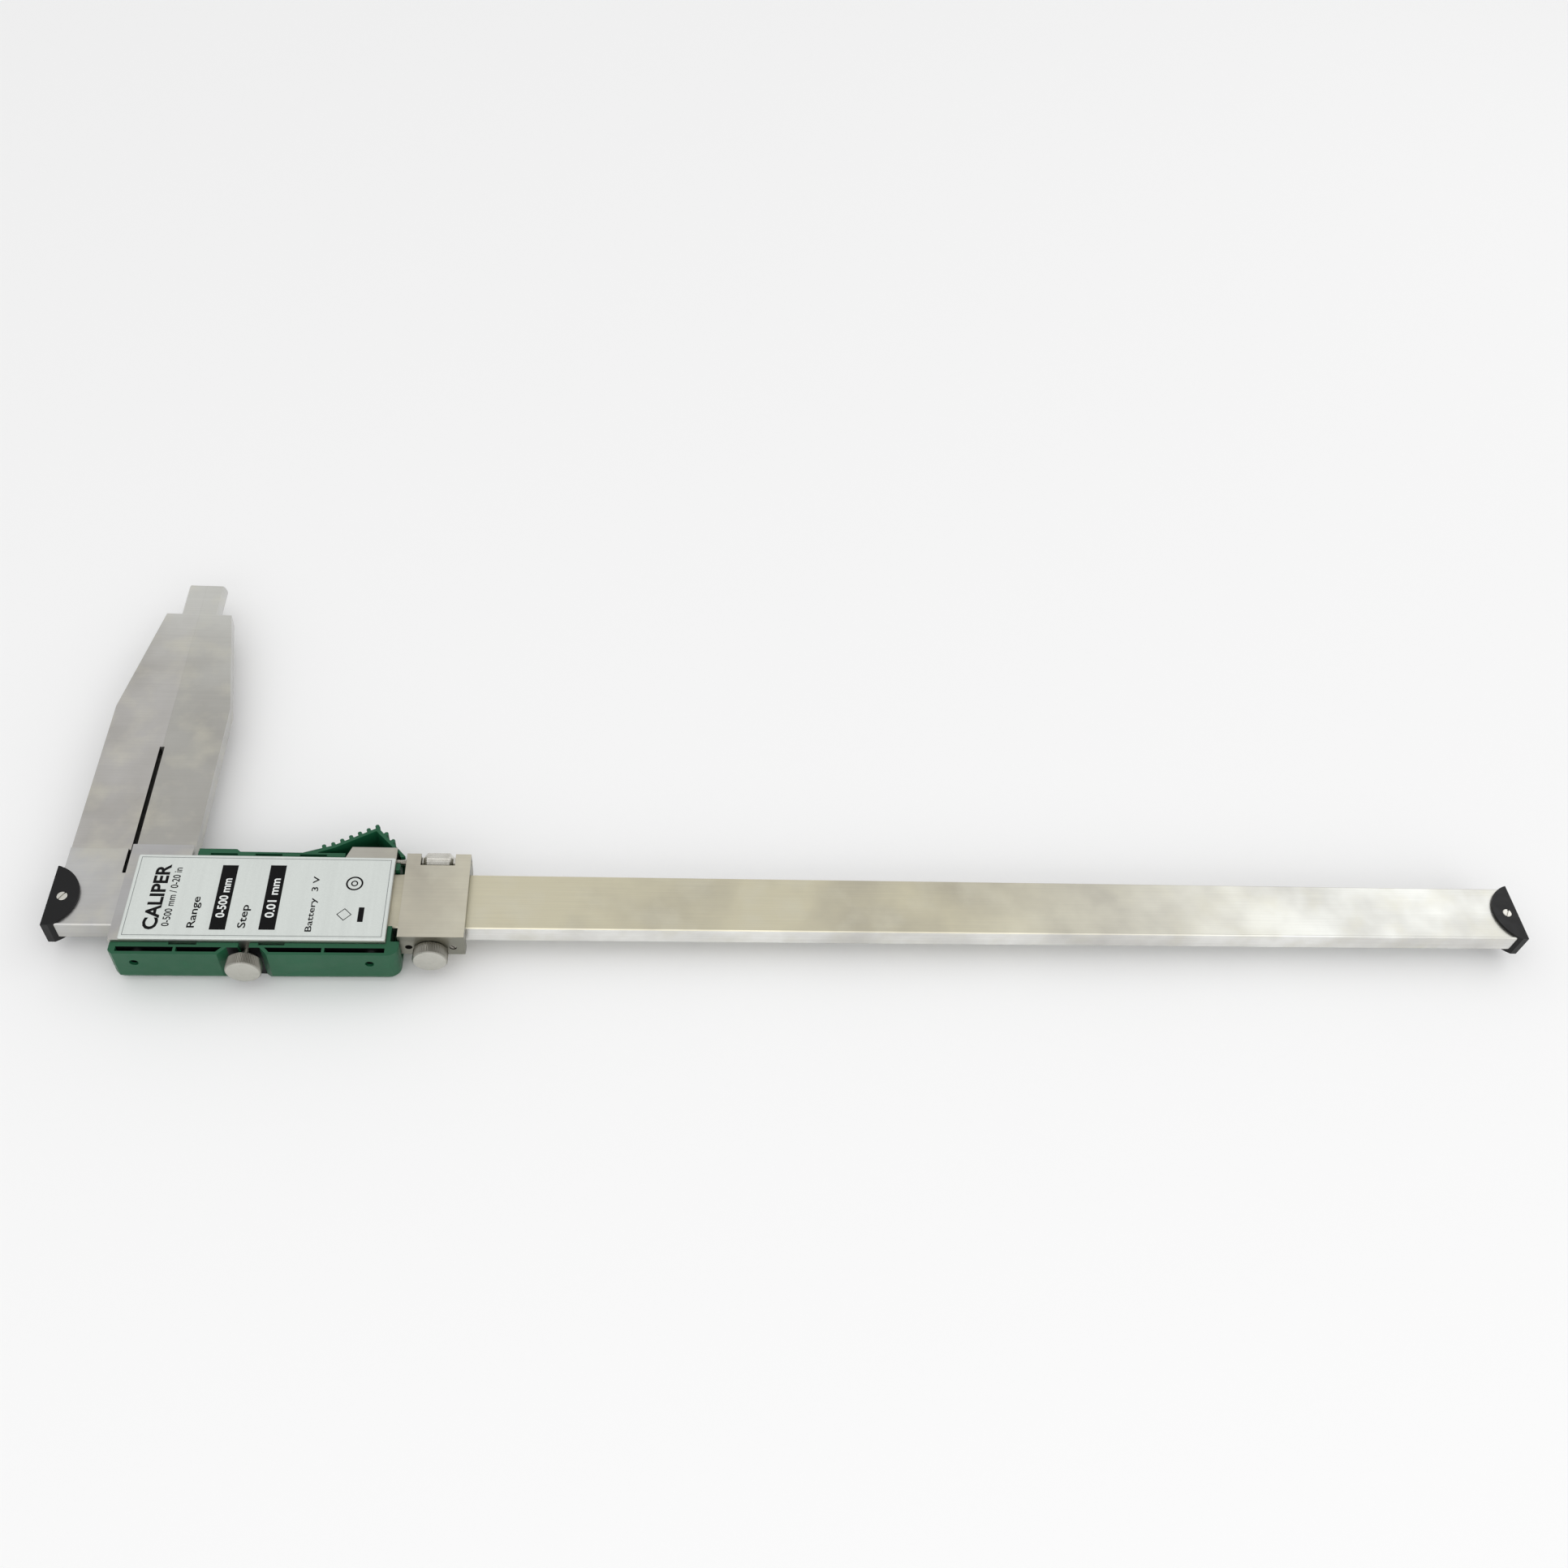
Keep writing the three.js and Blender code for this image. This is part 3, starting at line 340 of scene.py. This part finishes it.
def brass():
    """Brass with machining lines along X."""
    s = Surface("brass")
    lines = s.noise(1.0, 3, s.stretched((60, 1500, 1500)))
    base = s.mix(s.spread(lines, 0, 0.5), srgb(203, 168, 98), srgb(160, 126, 66))
    s.set(Base_Color=base, Metallic=1.0, Roughness=s.spread(lines, 0.28, 0.42))
    return s.material


def board_laminate():
    """Lacquered board with paler copper tracks under the lacquer."""
    s = Surface("board_laminate")
    tracks = s.node("ShaderNodeTexWave", {
        "Vector": s.place, "Scale": 240.0, "Distortion": 6.0, "Detail": 1.0, "Detail Scale": 0.4})
    base = s.mix(s.spread(tracks.outputs["Fac"], 0, 1, 0.55, 0.65), srgb(18, 84, 50), srgb(52, 128, 78))
    s.set(Base_Color=base, Roughness=s.spread(s.noise(400), 0.22, 0.34))
    return s.material


def scale_film():
    """The grey film under the graduations, with a faint streak along the beam."""
    s = Surface("scale_film")
    weave = s.noise(1.0, 2, s.stretched((40, 700, 700)))
    base = s.mix(s.spread(weave, 0, 0.4), srgb(186, 189, 186), srgb(166, 170, 167))
    s.set(Base_Color=base, Metallic=0.35, Roughness=s.spread(weave, 0.38, 0.5))
    return s.material


def clear_window():
    """Clear acrylic with faint wiping haze."""
    s = Surface("clear_window")
    haze = s.noise(90, 4)
    s.set(Base_Color=s.mix(s.spread(haze, 0, 1), srgb(244, 248, 248), srgb(232, 240, 240)))
    s.set(Transmission_Weight=1.0, IOR=1.49, Roughness=s.spread(haze, 0.01, 0.05))
    return s.material


def lcd_glass():
    """Grey-green display glass with a slight haze."""
    s = Surface("lcd_glass")
    haze = s.noise(140, 3)
    base = s.mix(s.spread(haze, 0, 0.5), srgb(176, 186, 164), srgb(164, 175, 153))
    s.set(Base_Color=base, Roughness=s.spread(haze, 0.14, 0.22))
    return s.material


def ink(name, dark, light, rough):
    """Screen-printed ink with a slightly uneven coat."""
    s = Surface(name)
    coat = s.noise(900, 3)
    s.set(Base_Color=s.mix(s.spread(coat, 0, 1), dark, light), Specular_IOR_Level=0.12)
    s.set(Roughness=s.spread(coat, rough, rough + 0.1))
    return s.material


# The jaw plates begin where the thick jaw bases end, this far from the beam's near edge.
JAW_PLATE_Y = corners("main_beam")[0].y + 42.8 * MM

# The last tone given to each ground steel is painted light on its walls: lighter on the beam and slider,
# darker on the carriage.
MATERIALS = {
    "ground_steel": ground_steel(
        "ground_steel", srgb(197, 197, 196), srgb(212, 206, 181), srgb(231, 232, 227),
        srgb(192, 190, 187), srgb(246, 246, 243)),
    "polished_steel": polished_steel(),
    "screw_steel": screw_steel(),
    "label_silver": label_silver(),
    "green_plastic": moulded("green_plastic", srgb(20, 80, 52), srgb(31, 98, 66), 0.36),
    "black_plastic": moulded("black_plastic", srgb(9, 9, 10), srgb(24, 25, 27), 0.36, 1100, 0.25),
    "brass": brass(),
    "board_laminate": board_laminate(),
    "scale_film": scale_film(),
    "clear_window": clear_window(),
    "lcd_glass": lcd_glass(),
    "button_rubber": moulded("button_rubber", srgb(58, 60, 64), srgb(74, 76, 80), 0.6, 900),
}
SLIDER_STEEL = ground_steel(
    "slider_steel", srgb(187, 187, 188), srgb(202, 200, 186), srgb(229, 230, 225),
    srgb(182, 181, 176), srgb(230, 231, 222))
CARRIAGE_STEEL = ground_steel(
    "carriage_steel", srgb(204, 199, 181), srgb(206, 201, 183), srgb(229, 230, 225),
    srgb(186, 183, 178), srgb(138, 138, 127))
# Painted shade: near-black for the shade inside the carriage's set-screw holes, on the hole walls and on the
# first set screw.
PAINTED_BORE_SHADE = moulded("painted_bore_shade", srgb(26, 25, 23), srgb(52, 50, 46), 0.5)
STEEL_OF = {
    "slider_frame": SLIDER_STEEL, "carriage_block": CARRIAGE_STEEL, "carriage_plate": CARRIAGE_STEEL,
    "carriage_gib_screw_1": PAINTED_BORE_SHADE}
BLACK_INK = ink("black_ink", srgb(5, 5, 6), srgb(14, 14, 15), 0.5)
PALE_INK = ink("pale_ink", srgb(222, 226, 224), srgb(236, 239, 237), 0.5)
GREY_INK = ink("grey_ink", srgb(120, 124, 124), srgb(138, 141, 141), 0.5)


# ------------------------------------------------------------------ piece helpers
# Edges that fold by more than this are rounded.
FOLD_ANGLE = math.radians(28)


def add_piece(name, bm, body, material, sharp=30):
    """A new piece from mesh code, shaded smooth up to the sharp angle."""
    mesh = bpy.data.meshes.new(name)
    bm.normal_update()
    bm.to_mesh(mesh)
    bm.free()
    mesh.shade_smooth()
    mesh.set_sharp_from_angle(angle=math.radians(sharp))
    piece = bpy.data.objects.new(name, mesh)
    bpy.context.scene.collection.objects.link(piece)
    mesh.materials.append(material)
    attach(piece, body)
    return piece


def stand_for(piece, node):
    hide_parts(node)
    return piece


def node_mesh(node):
    """A copy of a CAD node's mesh with its corners joined and its flat faces whole."""
    bm = bmesh.new()
    bm.from_mesh(frame["nodes"][node].data)
    bmesh.ops.remove_doubles(bm, verts=bm.verts, dist=0.002 * MM)
    bmesh.ops.dissolve_limit(bm, angle_limit=math.radians(0.6), verts=bm.verts, edges=bm.edges)
    return bm


def softened(node, width, segments=2, leave=None, turn=None):
    """The CAD node with its edges rounded, except where leave(edge) says that an edge stays sharp.

    width is the rounding in millimetres. turn is (axis, degrees) for a screw whose slot doesn't
    lie along the tool.
    """
    bm = node_mesh(node)
    if turn:
        axis, degrees = turn
        bmesh.ops.rotate(
            bm, cent=middle(node), matrix=Matrix.Rotation(math.radians(degrees), 3, axis), verts=bm.verts)
    weight = bm.edges.layers.float.new("bevel_weight_edge")
    for edge in bm.edges:
        folded = len(edge.link_faces) == 2 and edge.calc_face_angle() > FOLD_ANGLE
        if folded and not (leave and leave(edge)):
            edge[weight] = 1
    slot = SLOT_OF[node]
    material = STEEL_OF.get(node, MATERIALS[slot])
    piece = add_piece(f"{node}_piece", bm, BODY_OF[node], material)
    rounding = piece.modifiers.new("rounded edges", "BEVEL")
    rounding.limit_method = "WEIGHT"
    rounding.width = width * MM
    rounding.segments = segments
    rounding.harden_normals = True
    even = piece.modifiers.new("even shading", "WEIGHTED_NORMAL")
    even.keep_sharp = True
    return stand_for(piece, node)


def repaint(piece, material, chosen):
    """Gives the faces that chosen(place, normal) picks another material."""
    piece.data.materials.append(material)
    for face in piece.data.polygons:
        if chosen(face.center, face.normal):
            face.material_index = len(piece.data.materials) - 1


def frame_matrix(corner, along, up, out):
    """Puts a unit box at corner, with its sides along the three given vectors."""
    matrix = Matrix((along, up, out)).transposed().to_4x4()
    matrix.translation = corner
    return matrix


def add_box(bm, low, high):
    low, high = Vector(low), Vector(high)
    size = high - low
    place = Matrix.Translation((low + high) / 2) @ Matrix.Diagonal((*size, 1))
    bmesh.ops.create_cube(bm, size=1, matrix=place)


def unit_text(words, boldness):
    """Lettering as a mesh that fills the unit box, and its width for a height of one."""
    data = bpy.data.curves.new("lettering", "FONT")
    data.body = words
    data.extrude = 0.05
    data.offset = boldness
    data.resolution_u = 3
    writer = bpy.data.objects.new("lettering", data)
    bpy.context.scene.collection.objects.link(writer)
    bpy.context.view_layer.update()
    mesh = bpy.data.meshes.new_from_object(writer.evaluated_get(bpy.context.evaluated_depsgraph_get()))
    bpy.data.objects.remove(writer)
    bpy.data.curves.remove(data)
    spots = [v.co for v in mesh.vertices]
    low = Vector([min(spot[i] for spot in spots) for i in range(3)])
    high = Vector([max(spot[i] for spot in spots) for i in range(3)])
    size = high - low
    mesh.transform(Matrix.Diagonal((1 / size.x, 1 / size.y, 1 / size.z, 1)) @ Matrix.Translation(-low))
    return mesh, size.x / size.y


def add_lettering(bm, mesh, matrix):
    mesh.transform(matrix)
    bm.from_mesh(mesh)
    bpy.data.meshes.remove(mesh)


def add_text(bm, words, matrix, boldness):
    """Lettering that fills the box which matrix makes of the unit box."""
    mesh, _ = unit_text(words, boldness)
    add_lettering(bm, mesh, matrix)


def add_text_below(bm, words, foot, tall, boldness=0.0, widest=math.inf, centred=True):
    """Lettering read from the display side. foot is the middle of its lower edge, or its start."""
    mesh, ratio = unit_text(words, boldness)
    wide = min(tall * ratio, widest)
    x, y, face = foot
    start = x - wide / 2 if centred else x
    sides = X_AXIS * wide, -Y_AXIS * tall, -Z_AXIS * PRINT_THICK
    add_lettering(bm, mesh, frame_matrix((start, y, face), *sides))


def add_ring(bm, centre, radius, width, low, high, sides=40):
    """A flat ring about Z between two heights."""
    rows = []
    for rad, z in ((radius, low), (radius, high), (radius - width, high), (radius - width, low)):
        turns = [2 * math.pi * i / sides for i in range(sides)]
        rows.append([
            bm.verts.new((centre[0] + rad * math.cos(t), centre[1] + rad * math.sin(t), z)) for t in turns])
    for row, following in zip(rows, rows[1:] + rows[:1]):
        for i in range(sides):
            j = (i + 1) % sides
            bm.faces.new((row[i], row[j], following[j], following[i]))


def lathe(profile, origin, axis, sides, radius_at):
    """A turned mesh. profile is a list of (radius, distance along axis, shaped).

    radius_at gives the radius of each point of a shaped row. A radius of zero closes the end with
    one point.
    """
    axis = Vector(axis)
    first = axis.orthogonal().normalized()
    second = axis.cross(first)
    bm = bmesh.new()
    rows = []
    for radius, distance, shaped in profile:
        centre = Vector(origin) + axis * distance
        if radius == 0:
            rows.append([bm.verts.new(centre)])
            continue
        row = []
        for i in range(sides):
            turn = 2 * math.pi * i / sides
            rad = radius_at(radius, distance, i) if shaped else radius
            row.append(bm.verts.new(centre + (first * math.cos(turn) + second * math.sin(turn)) * rad))
        rows.append(row)
    for row, following in zip(rows, rows[1:]):
        for i in range(sides):
            j = (i + 1) % sides
            if len(row) == 1:
                bm.faces.new((row[0], following[j], following[i]))
            elif len(following) == 1:
                bm.faces.new((row[i], row[j], following[0]))
            else:
                bm.faces.new((row[i], row[j], following[j], following[i]))
    bmesh.ops.recalc_face_normals(bm, faces=bm.faces)
    return bm


# ------------------------------------------------------------------ beam and end caps
def on_plane_x(place):
    """A test for edges that lie in a plane across X, such as a measuring face."""
    tolerance = 0.25 * MM
    return lambda edge: all(abs(v.co.x - place) < tolerance for v in edge.verts)


def add_beam():
    """The beam with its fixed jaw, the scale strip and the two end caps."""
    softened("main_beam", 0.22, leave=on_plane_x(jaw_faces()))
    softened("scale_strip", 0.08, segments=1)
    for side in ("left", "right"):
        softened(f"end_cap_{side}", 0.45, segments=3)
        softened(f"cap_screw_{side}", 0.12, turn=(Z_AXIS, 58))


SCALE_LENGTH = 500  # millimetres


def graduation_size(step):
    """The length and the half width of the line at a whole millimetre."""
    if step % 10 == 0:
        return 6.5 * MM, 0.11 * MM
    if step % 5 == 0:
        return 5.0 * MM, 0.08 * MM
    return 3.4 * MM, 0.08 * MM


def add_graduations():
    """Millimetre lines and centimetre numbers on the scale film, on the display side."""
    low, _ = corners("scale_strip")
    face = low.z - PRINT_RISE
    zero = corners("carriage_block")[1].x + 1.2 * MM
    lines_start = low.y + 1.2 * MM
    numbers_foot = low.y + 12.4 * MM
    bm = bmesh.new()
    for step in range(SCALE_LENGTH + 1):
        length, half = graduation_size(step)
        x = zero + step * MM
        start = (x - half, lines_start, face - PRINT_THICK)
        add_box(bm, start, (x + half, lines_start + length, face))
    for step in range(0, SCALE_LENGTH + 1, 10):
        foot = (zero + step * MM, numbers_foot, face)
        add_text_below(bm, str(step), foot, 3.0 * MM, widest=6.4 * MM)
    add_piece("scale_graduations", bm, "beam", BLACK_INK)


# ------------------------------------------------------------------ slider metalwork and label
def add_slider():
    """The slider frame with the moving jaw, its label, keeper, gib and screws."""
    softened("slider_frame", 0.22, leave=on_plane_x(jaw_faces()))
    softened("back_label", 0.12)
    softened("keeper_plate", 0.15)
    softened("slider_gib", 0.12)
    softened("slider_lock_pad", 0.1)
    for number, degrees in ((1, 20), (2, -40)):
        softened(f"slider_gib_screw_{number}", 0.1, turn=(Y_AXIS, degrees))
    for number in range(1, 5):
        softened(f"housing_screw_{number}", 0.12, turn=(Z_AXIS, 35 * number))


def on_label(u0, u1, v0, v1, rise=PRINT_RISE):
    """The matrix for lettering that runs along Y on the label, with its tops towards the jaws.

    u and v are millimetres from the label's jaw-side edge and from its near edge.
    """
    low, high = corners("back_label")
    corner = (low.x + u1 * MM, low.y + v0 * MM, high.z + rise)
    return frame_matrix(corner, Y_AXIS * (v1 - v0) * MM, -X_AXIS * (u1 - u0) * MM, Z_AXIS * PRINT_THICK)


def label_box(bm, u0, u1, v0, v1):
    """A printed bar on the label, placed like its lettering."""
    low, high = corners("back_label")
    start = Vector((low.x + u0 * MM, low.y + v0 * MM, high.z + PRINT_RISE))
    add_box(bm, start, start + Vector(((u1 - u0) * MM, (v1 - v0) * MM, PRINT_THICK)))


# Words, their place on the label as (u0, u1, v0, v1), and their boldness.
LABEL_WORDS = [
    ("CALIPER", (9.2, 15.8, 4.6, 40.4), 0.03),
    ("0-500 mm / 0-20 in", (17.4, 20.8, 6.4, 38.6), 0.012),
    ("Range", (28.4, 32.8, 5.8, 22.6), 0.014),
    ("Step", (50.2, 54.8, 5.8, 18.4), 0.014),
    ("Battery  3 V", (79.8, 83.6, 4.2, 34.8), 0.012),
]
# The black fields, with the figures that stand in them.
FIELDS = [((38.3, 45.3, 4.8, 40.4), "0-500 mm"), ((59.7, 66.8, 5.0, 40.7), "0.01 mm")]
MARK_BAR = (102.2, 104.7, 9.7, 17.7)


def add_label_print():
    """The black words, fields and plain marks: a bar, a double ring and a square."""
    bm = bmesh.new()
    for words, place, boldness in LABEL_WORDS:
        add_text(bm, words, on_label(*place), boldness)
    for place, _ in FIELDS:
        label_box(bm, *place)
    label_box(bm, *MARK_BAR)
    low, high = corners("back_label")
    ring = (low.x + 98.6 * MM, low.y + 31 * MM)
    square = (low.x + 96 * MM, low.y + 13.7 * MM)
    heights = (high.z + PRINT_RISE, high.z + PRINT_RISE + PRINT_THICK)
    add_ring(bm, ring, 3.9 * MM, 0.8 * MM, *heights)
    add_ring(bm, ring, 1.6 * MM, 0.6 * MM, *heights)
    add_ring(bm, square, 3.4 * MM, 0.5 * MM, *heights, sides=4)
    add_piece("label_print", bm, "slider", BLACK_INK)


def add_label_figures():
    """The pale figures, printed over the two black fields."""
    end, foot, head = 1.5, 6.5, 7.5
    over_fields = 0.045 * MM
    bm = bmesh.new()
    for (u0, u1, v0, v1), words in FIELDS:
        inner = on_label(u0 + end, u1 - end, v0 + foot, v1 - head, over_fields)
        add_text(bm, words, inner, 0.02)
    add_piece("label_figures", bm, "slider", PALE_INK)


def add_label_border():
    """The thin printed line round the label."""
    low, high = corners("back_label")
    wide, deep = (high.x - low.x) / MM, (high.y - low.y) / MM
    inset, line = 1.6, 0.28
    bm = bmesh.new()
    sides = [
        (inset, wide - inset, inset, inset + line),
        (inset, wide - inset, deep - inset - line, deep - inset),
        (inset, inset + line, inset + line, deep - inset - line),
        (wide - inset - line, wide - inset, inset + line, deep - inset - line),
    ]
    for u0, u1, v0, v1 in sides:
        label_box(bm, u0, u1, v0, v1)
    add_piece("label_border", bm, "slider", GREY_INK)


# ------------------------------------------------------------------ lock knobs, rod and nut
KNURLS = 64


def add_lock_knob(node, name):
    """A straight-knurled knob on a shank, turning about Y, with turning rings on its domed face."""
    low, high = corners(node)
    centre = middle(node)
    end = Vector((centre.x, low.y, centre.z))
    radius = (high.x - low.x) / 2
    reach = high.y - low.y
    head, shank = 6.6 * MM, 2 * MM
    dome, groove_depth, knurl_depth = 0.22 * MM, 0.02 * MM, 0.32 * MM
    rings, ringed_radius = 7, radius - 1.05 * MM

    def knurl(rad, _, index):
        return rad - (knurl_depth if index % 2 else 0)

    profile = [(0, 0, False)]
    for ring in range(1, rings + 1):
        place = ring / (rings + 0.5)
        groove = groove_depth if ring % 2 else 0
        profile.append((ringed_radius * place, dome * place ** 2 + groove, False))
    profile += [
        (radius - 0.95 * MM, 0.24 * MM, False),
        (radius - 0.55 * MM, 0.36 * MM, False),
        (radius - 0.1 * MM, 0.85 * MM, True),
        (radius, 1.1 * MM, True),
        (radius, head - 0.9 * MM, True),
        (radius - 0.5 * MM, head - 0.35 * MM, True),
        (radius - 0.9 * MM, head, False),
        (shank + 0.3 * MM, head, False),
        (shank, head + 0.2 * MM, False),
        (shank, reach - 0.5 * MM, False),
        (shank - 0.5 * MM, reach, False),
        (0, reach, False),
    ]
    bm = lathe(profile, end, Y_AXIS, KNURLS * 2, knurl)
    material = turned_knob(f"{name}_steel", end)
    stand_for(add_piece(name, bm, BODY_OF[node], material, sharp=24), node)


def add_rod():
    """The fine-adjustment rod with a real helical thread."""
    low, high = corners("fine_adjust_rod")
    centre = middle("fine_adjust_rod")
    radius = (high.z - low.z) / 2
    core = radius - 0.35 * MM
    pitch, depth = 0.5 * MM, 0.27 * MM
    steps, sides = 6, 20
    length = high.x - low.x
    count = int(length / pitch * steps)

    def thread(rad, distance, index):
        phase = (distance / pitch - index / sides) % 1
        return rad - depth * abs(2 * phase - 1)

    profile = [(0, 0, False), (core, 0, False)]
    profile += [(radius, length * i / count, True) for i in range(2, count - 2)]
    profile += [(core, length, False), (0, length, False)]
    bm = lathe(profile, (low.x, centre.y, centre.z), X_AXIS, sides, thread)
    piece = add_piece("thread_rod", bm, "slider", MATERIALS["polished_steel"], sharp=60)
    stand_for(piece, "fine_adjust_rod")


def add_nut():
    """The fine-adjustment nut: a drum with finely ribbed sides and chamfered ends between two hubs."""
    low, high = corners("fine_adjust_nut")
    centre = middle("fine_adjust_nut")
    radius = (high.z - low.z) / 2
    width = high.x - low.x
    hub, bore, ease = 2.6 * MM, 1.66 * MM, 0.2 * MM
    left, right, chamfer = 0.75 * MM, width - 1.05 * MM, 1.8 * MM
    ribs, rib_depth = 28, 0.16 * MM

    def rib(rad, _, index):
        return rad - (rib_depth if index % 4 in (2, 3) else 0)

    profile = [
        (bore, 0, False), (hub - ease, 0, False), (hub, ease, False), (hub, left, False),
        (radius - chamfer, left, False), (radius - ease, left + chamfer - ease, False),
        (radius, left + chamfer, True), (radius, right - chamfer, True),
        (radius - ease, right - chamfer + ease, False), (radius - chamfer, right, False),
        (hub, right, False), (hub, width - ease, False), (hub - ease, width, False),
        (bore, width, False), (bore, 0, False),
    ]
    bm = lathe(profile, (low.x, centre.y, centre.z), X_AXIS, ribs * 4, rib)
    bmesh.ops.remove_doubles(bm, verts=bm.verts, dist=0.001 * MM)
    bmesh.ops.recalc_face_normals(bm, faces=bm.faces)
    piece = add_piece("ribbed_nut", bm, "fine_nut", MATERIALS["polished_steel"], sharp=24)
    stand_for(piece, "fine_adjust_nut")


# ------------------------------------------------------------------ carriage
def add_carriage():
    """The fine-adjustment carriage, with painted shade inside the holes of its set screws: near-black hole
    walls and a near-black first set screw.
    """
    bores = [middle(f"carriage_gib_screw_{number}") for number in (1, 2)]
    bore_room = 1.9 * MM

    def in_bore(place, normal):
        near = any(math.hypot(place.x - bore.x, place.z - bore.z) < bore_room for bore in bores)
        return near and abs(normal.y) < 0.5

    # Painted shade: the walls of the set-screw holes get the near-black shade material.
    repaint(softened("carriage_block", 0.28), PAINTED_BORE_SHADE, in_bore)
    softened("carriage_plate", 0.18)
    softened("carriage_gib", 0.12)
    softened("carriage_lock_pad", 0.1)
    for number, degrees in ((1, 0), (2, 52)):
        softened(f"carriage_gib_screw_{number}", 0.1, turn=(Y_AXIS, degrees))
    for number in range(1, 5):
        softened(f"carriage_plate_screw_{number}", 0.08, turn=(Z_AXIS, 25 * number))


# ------------------------------------------------------------------ housing and display side
def add_housing():
    """The display housing with its window, battery cover and keys."""
    # Painted shade: the channel along the housing's near rim is lined black.
    line_channel(softened("front_housing", 0.3))
    softened("battery_cover", 0.25)
    softened("display_window", 0.2)
    for name in ("power", "unit", "zero"):
        softened(f"{name}_button", 0.7, segments=4)
        softened(f"{name}_switch", 0.15)


def line_channel(housing):
    """Painted shade: black plastic on the faces inside the long channel along the housing's near rim,
    standing in for the shade deep in that channel.
    """
    low, high = corners("front_housing")
    left, right = low.x + 2.8 * MM, high.x - 5.9 * MM
    near, far = low.y + 1.2 * MM, low.y + 3.95 * MM
    floor, rim = high.z - 12 * MM, high.z - 0.4 * MM

    def in_channel(place, normal):
        inside = left < place.x < right and near < place.y < far and floor < place.z < rim
        return inside and abs(normal.x) < 0.5

    repaint(housing, MATERIALS["black_plastic"], in_channel)


def add_key_names():
    """The printed names beside the keys."""
    face = corners("front_housing")[0].z - PRINT_RISE
    bm = bmesh.new()
    for node, words in (("power_button", "ON/OFF"), ("unit_button", "mm/in"), ("zero_button", "ZERO")):
        foot = (middle(node).x, corners(node)[0].y - 1.2 * MM, face)
        add_text_below(bm, words, foot, 1.7 * MM, boldness=0.01)
    add_piece("key_names", bm, "slider", PALE_INK)


# The bars of a figure zero, each from end to end, in figure widths and heights from its lower left.
ZERO_BARS = [
    ((0, 1), (1, 1)), ((1, 1), (1, 0.5)), ((1, 0.5), (1, 0)),
    ((0, 0), (1, 0)), ((0, 0.5), (0, 0)), ((0, 1), (0, 0.5)),
]


def add_segment(bm, start, end, half, face):
    """One pointed bar of a figure, seen from below."""
    start, end = Vector((*start, 0)), Vector((*end, 0))
    along = (end - start).normalized()
    side = Vector((-along.y, along.x, 0)) * half
    gap = along * half * 0.35
    start, end = start + gap, end - gap
    outline = [
        start, start + along * half + side, end - along * half + side, end,
        end - along * half - side, start + along * half - side,
    ]
    for z in (face, face - PRINT_THICK):
        bm.faces.new([bm.verts.new((p.x, p.y, z)) for p in outline])


def add_figures():
    """The reading 0.00 in segment figures, and its unit, on the display panel."""
    low, high = corners("lcd_panel")
    face = low.z - PRINT_RISE
    wide, tall, gap, half = 6.2 * MM, 12 * MM, 3.4 * MM, 0.75 * MM
    pitch = wide + gap
    foot = middle("lcd_panel").y + tall / 2
    left = high.x - 44 * MM
    bm = bmesh.new()
    for place in range(3):
        x = left + place * pitch
        for bar in ZERO_BARS:
            start, end = ((x + u * wide, foot - v * tall) for u, v in bar)
            add_segment(bm, start, end, half, face)
    dot = left + wide + gap / 2
    add_box(bm, (dot - half, foot - half, face - PRINT_THICK), (dot + half, foot + half, face))
    unit_start = (left + 3 * pitch, foot, face)
    add_text_below(bm, "mm", unit_start, 3 * MM, boldness=0.01, centred=False)
    add_piece("display_figures", bm, "slider", BLACK_INK)


def add_electronics():
    """The parts inside the housing."""
    for node in ("circuit_board", "lcd_panel", "zebra_strip", "coin_cell"):
        softened(node, 0.12)
    for node in ("cell_contact_negative", "cell_contact_positive"):
        softened(node, 0.06)


add_camera()
add_floor()
add_world()
add_area_light("right end", (1.25, 0.72, 1.2), (0.33, -0.085, 0.02), (0.9, 0.7), 1.7)
add_area_light("front", (0.1, -1.5, 0.8), (0, -0.1, 0), (2.6, 0.9), 7)

add_beam()
add_graduations()
add_slider()
add_label_print()
add_label_figures()
add_label_border()
add_lock_knob("slider_lock_screw", "slider_knob")
add_lock_knob("carriage_lock_screw", "carriage_knob")
add_rod()
add_nut()
add_carriage()
add_housing()
add_key_names()
add_figures()
add_electronics()
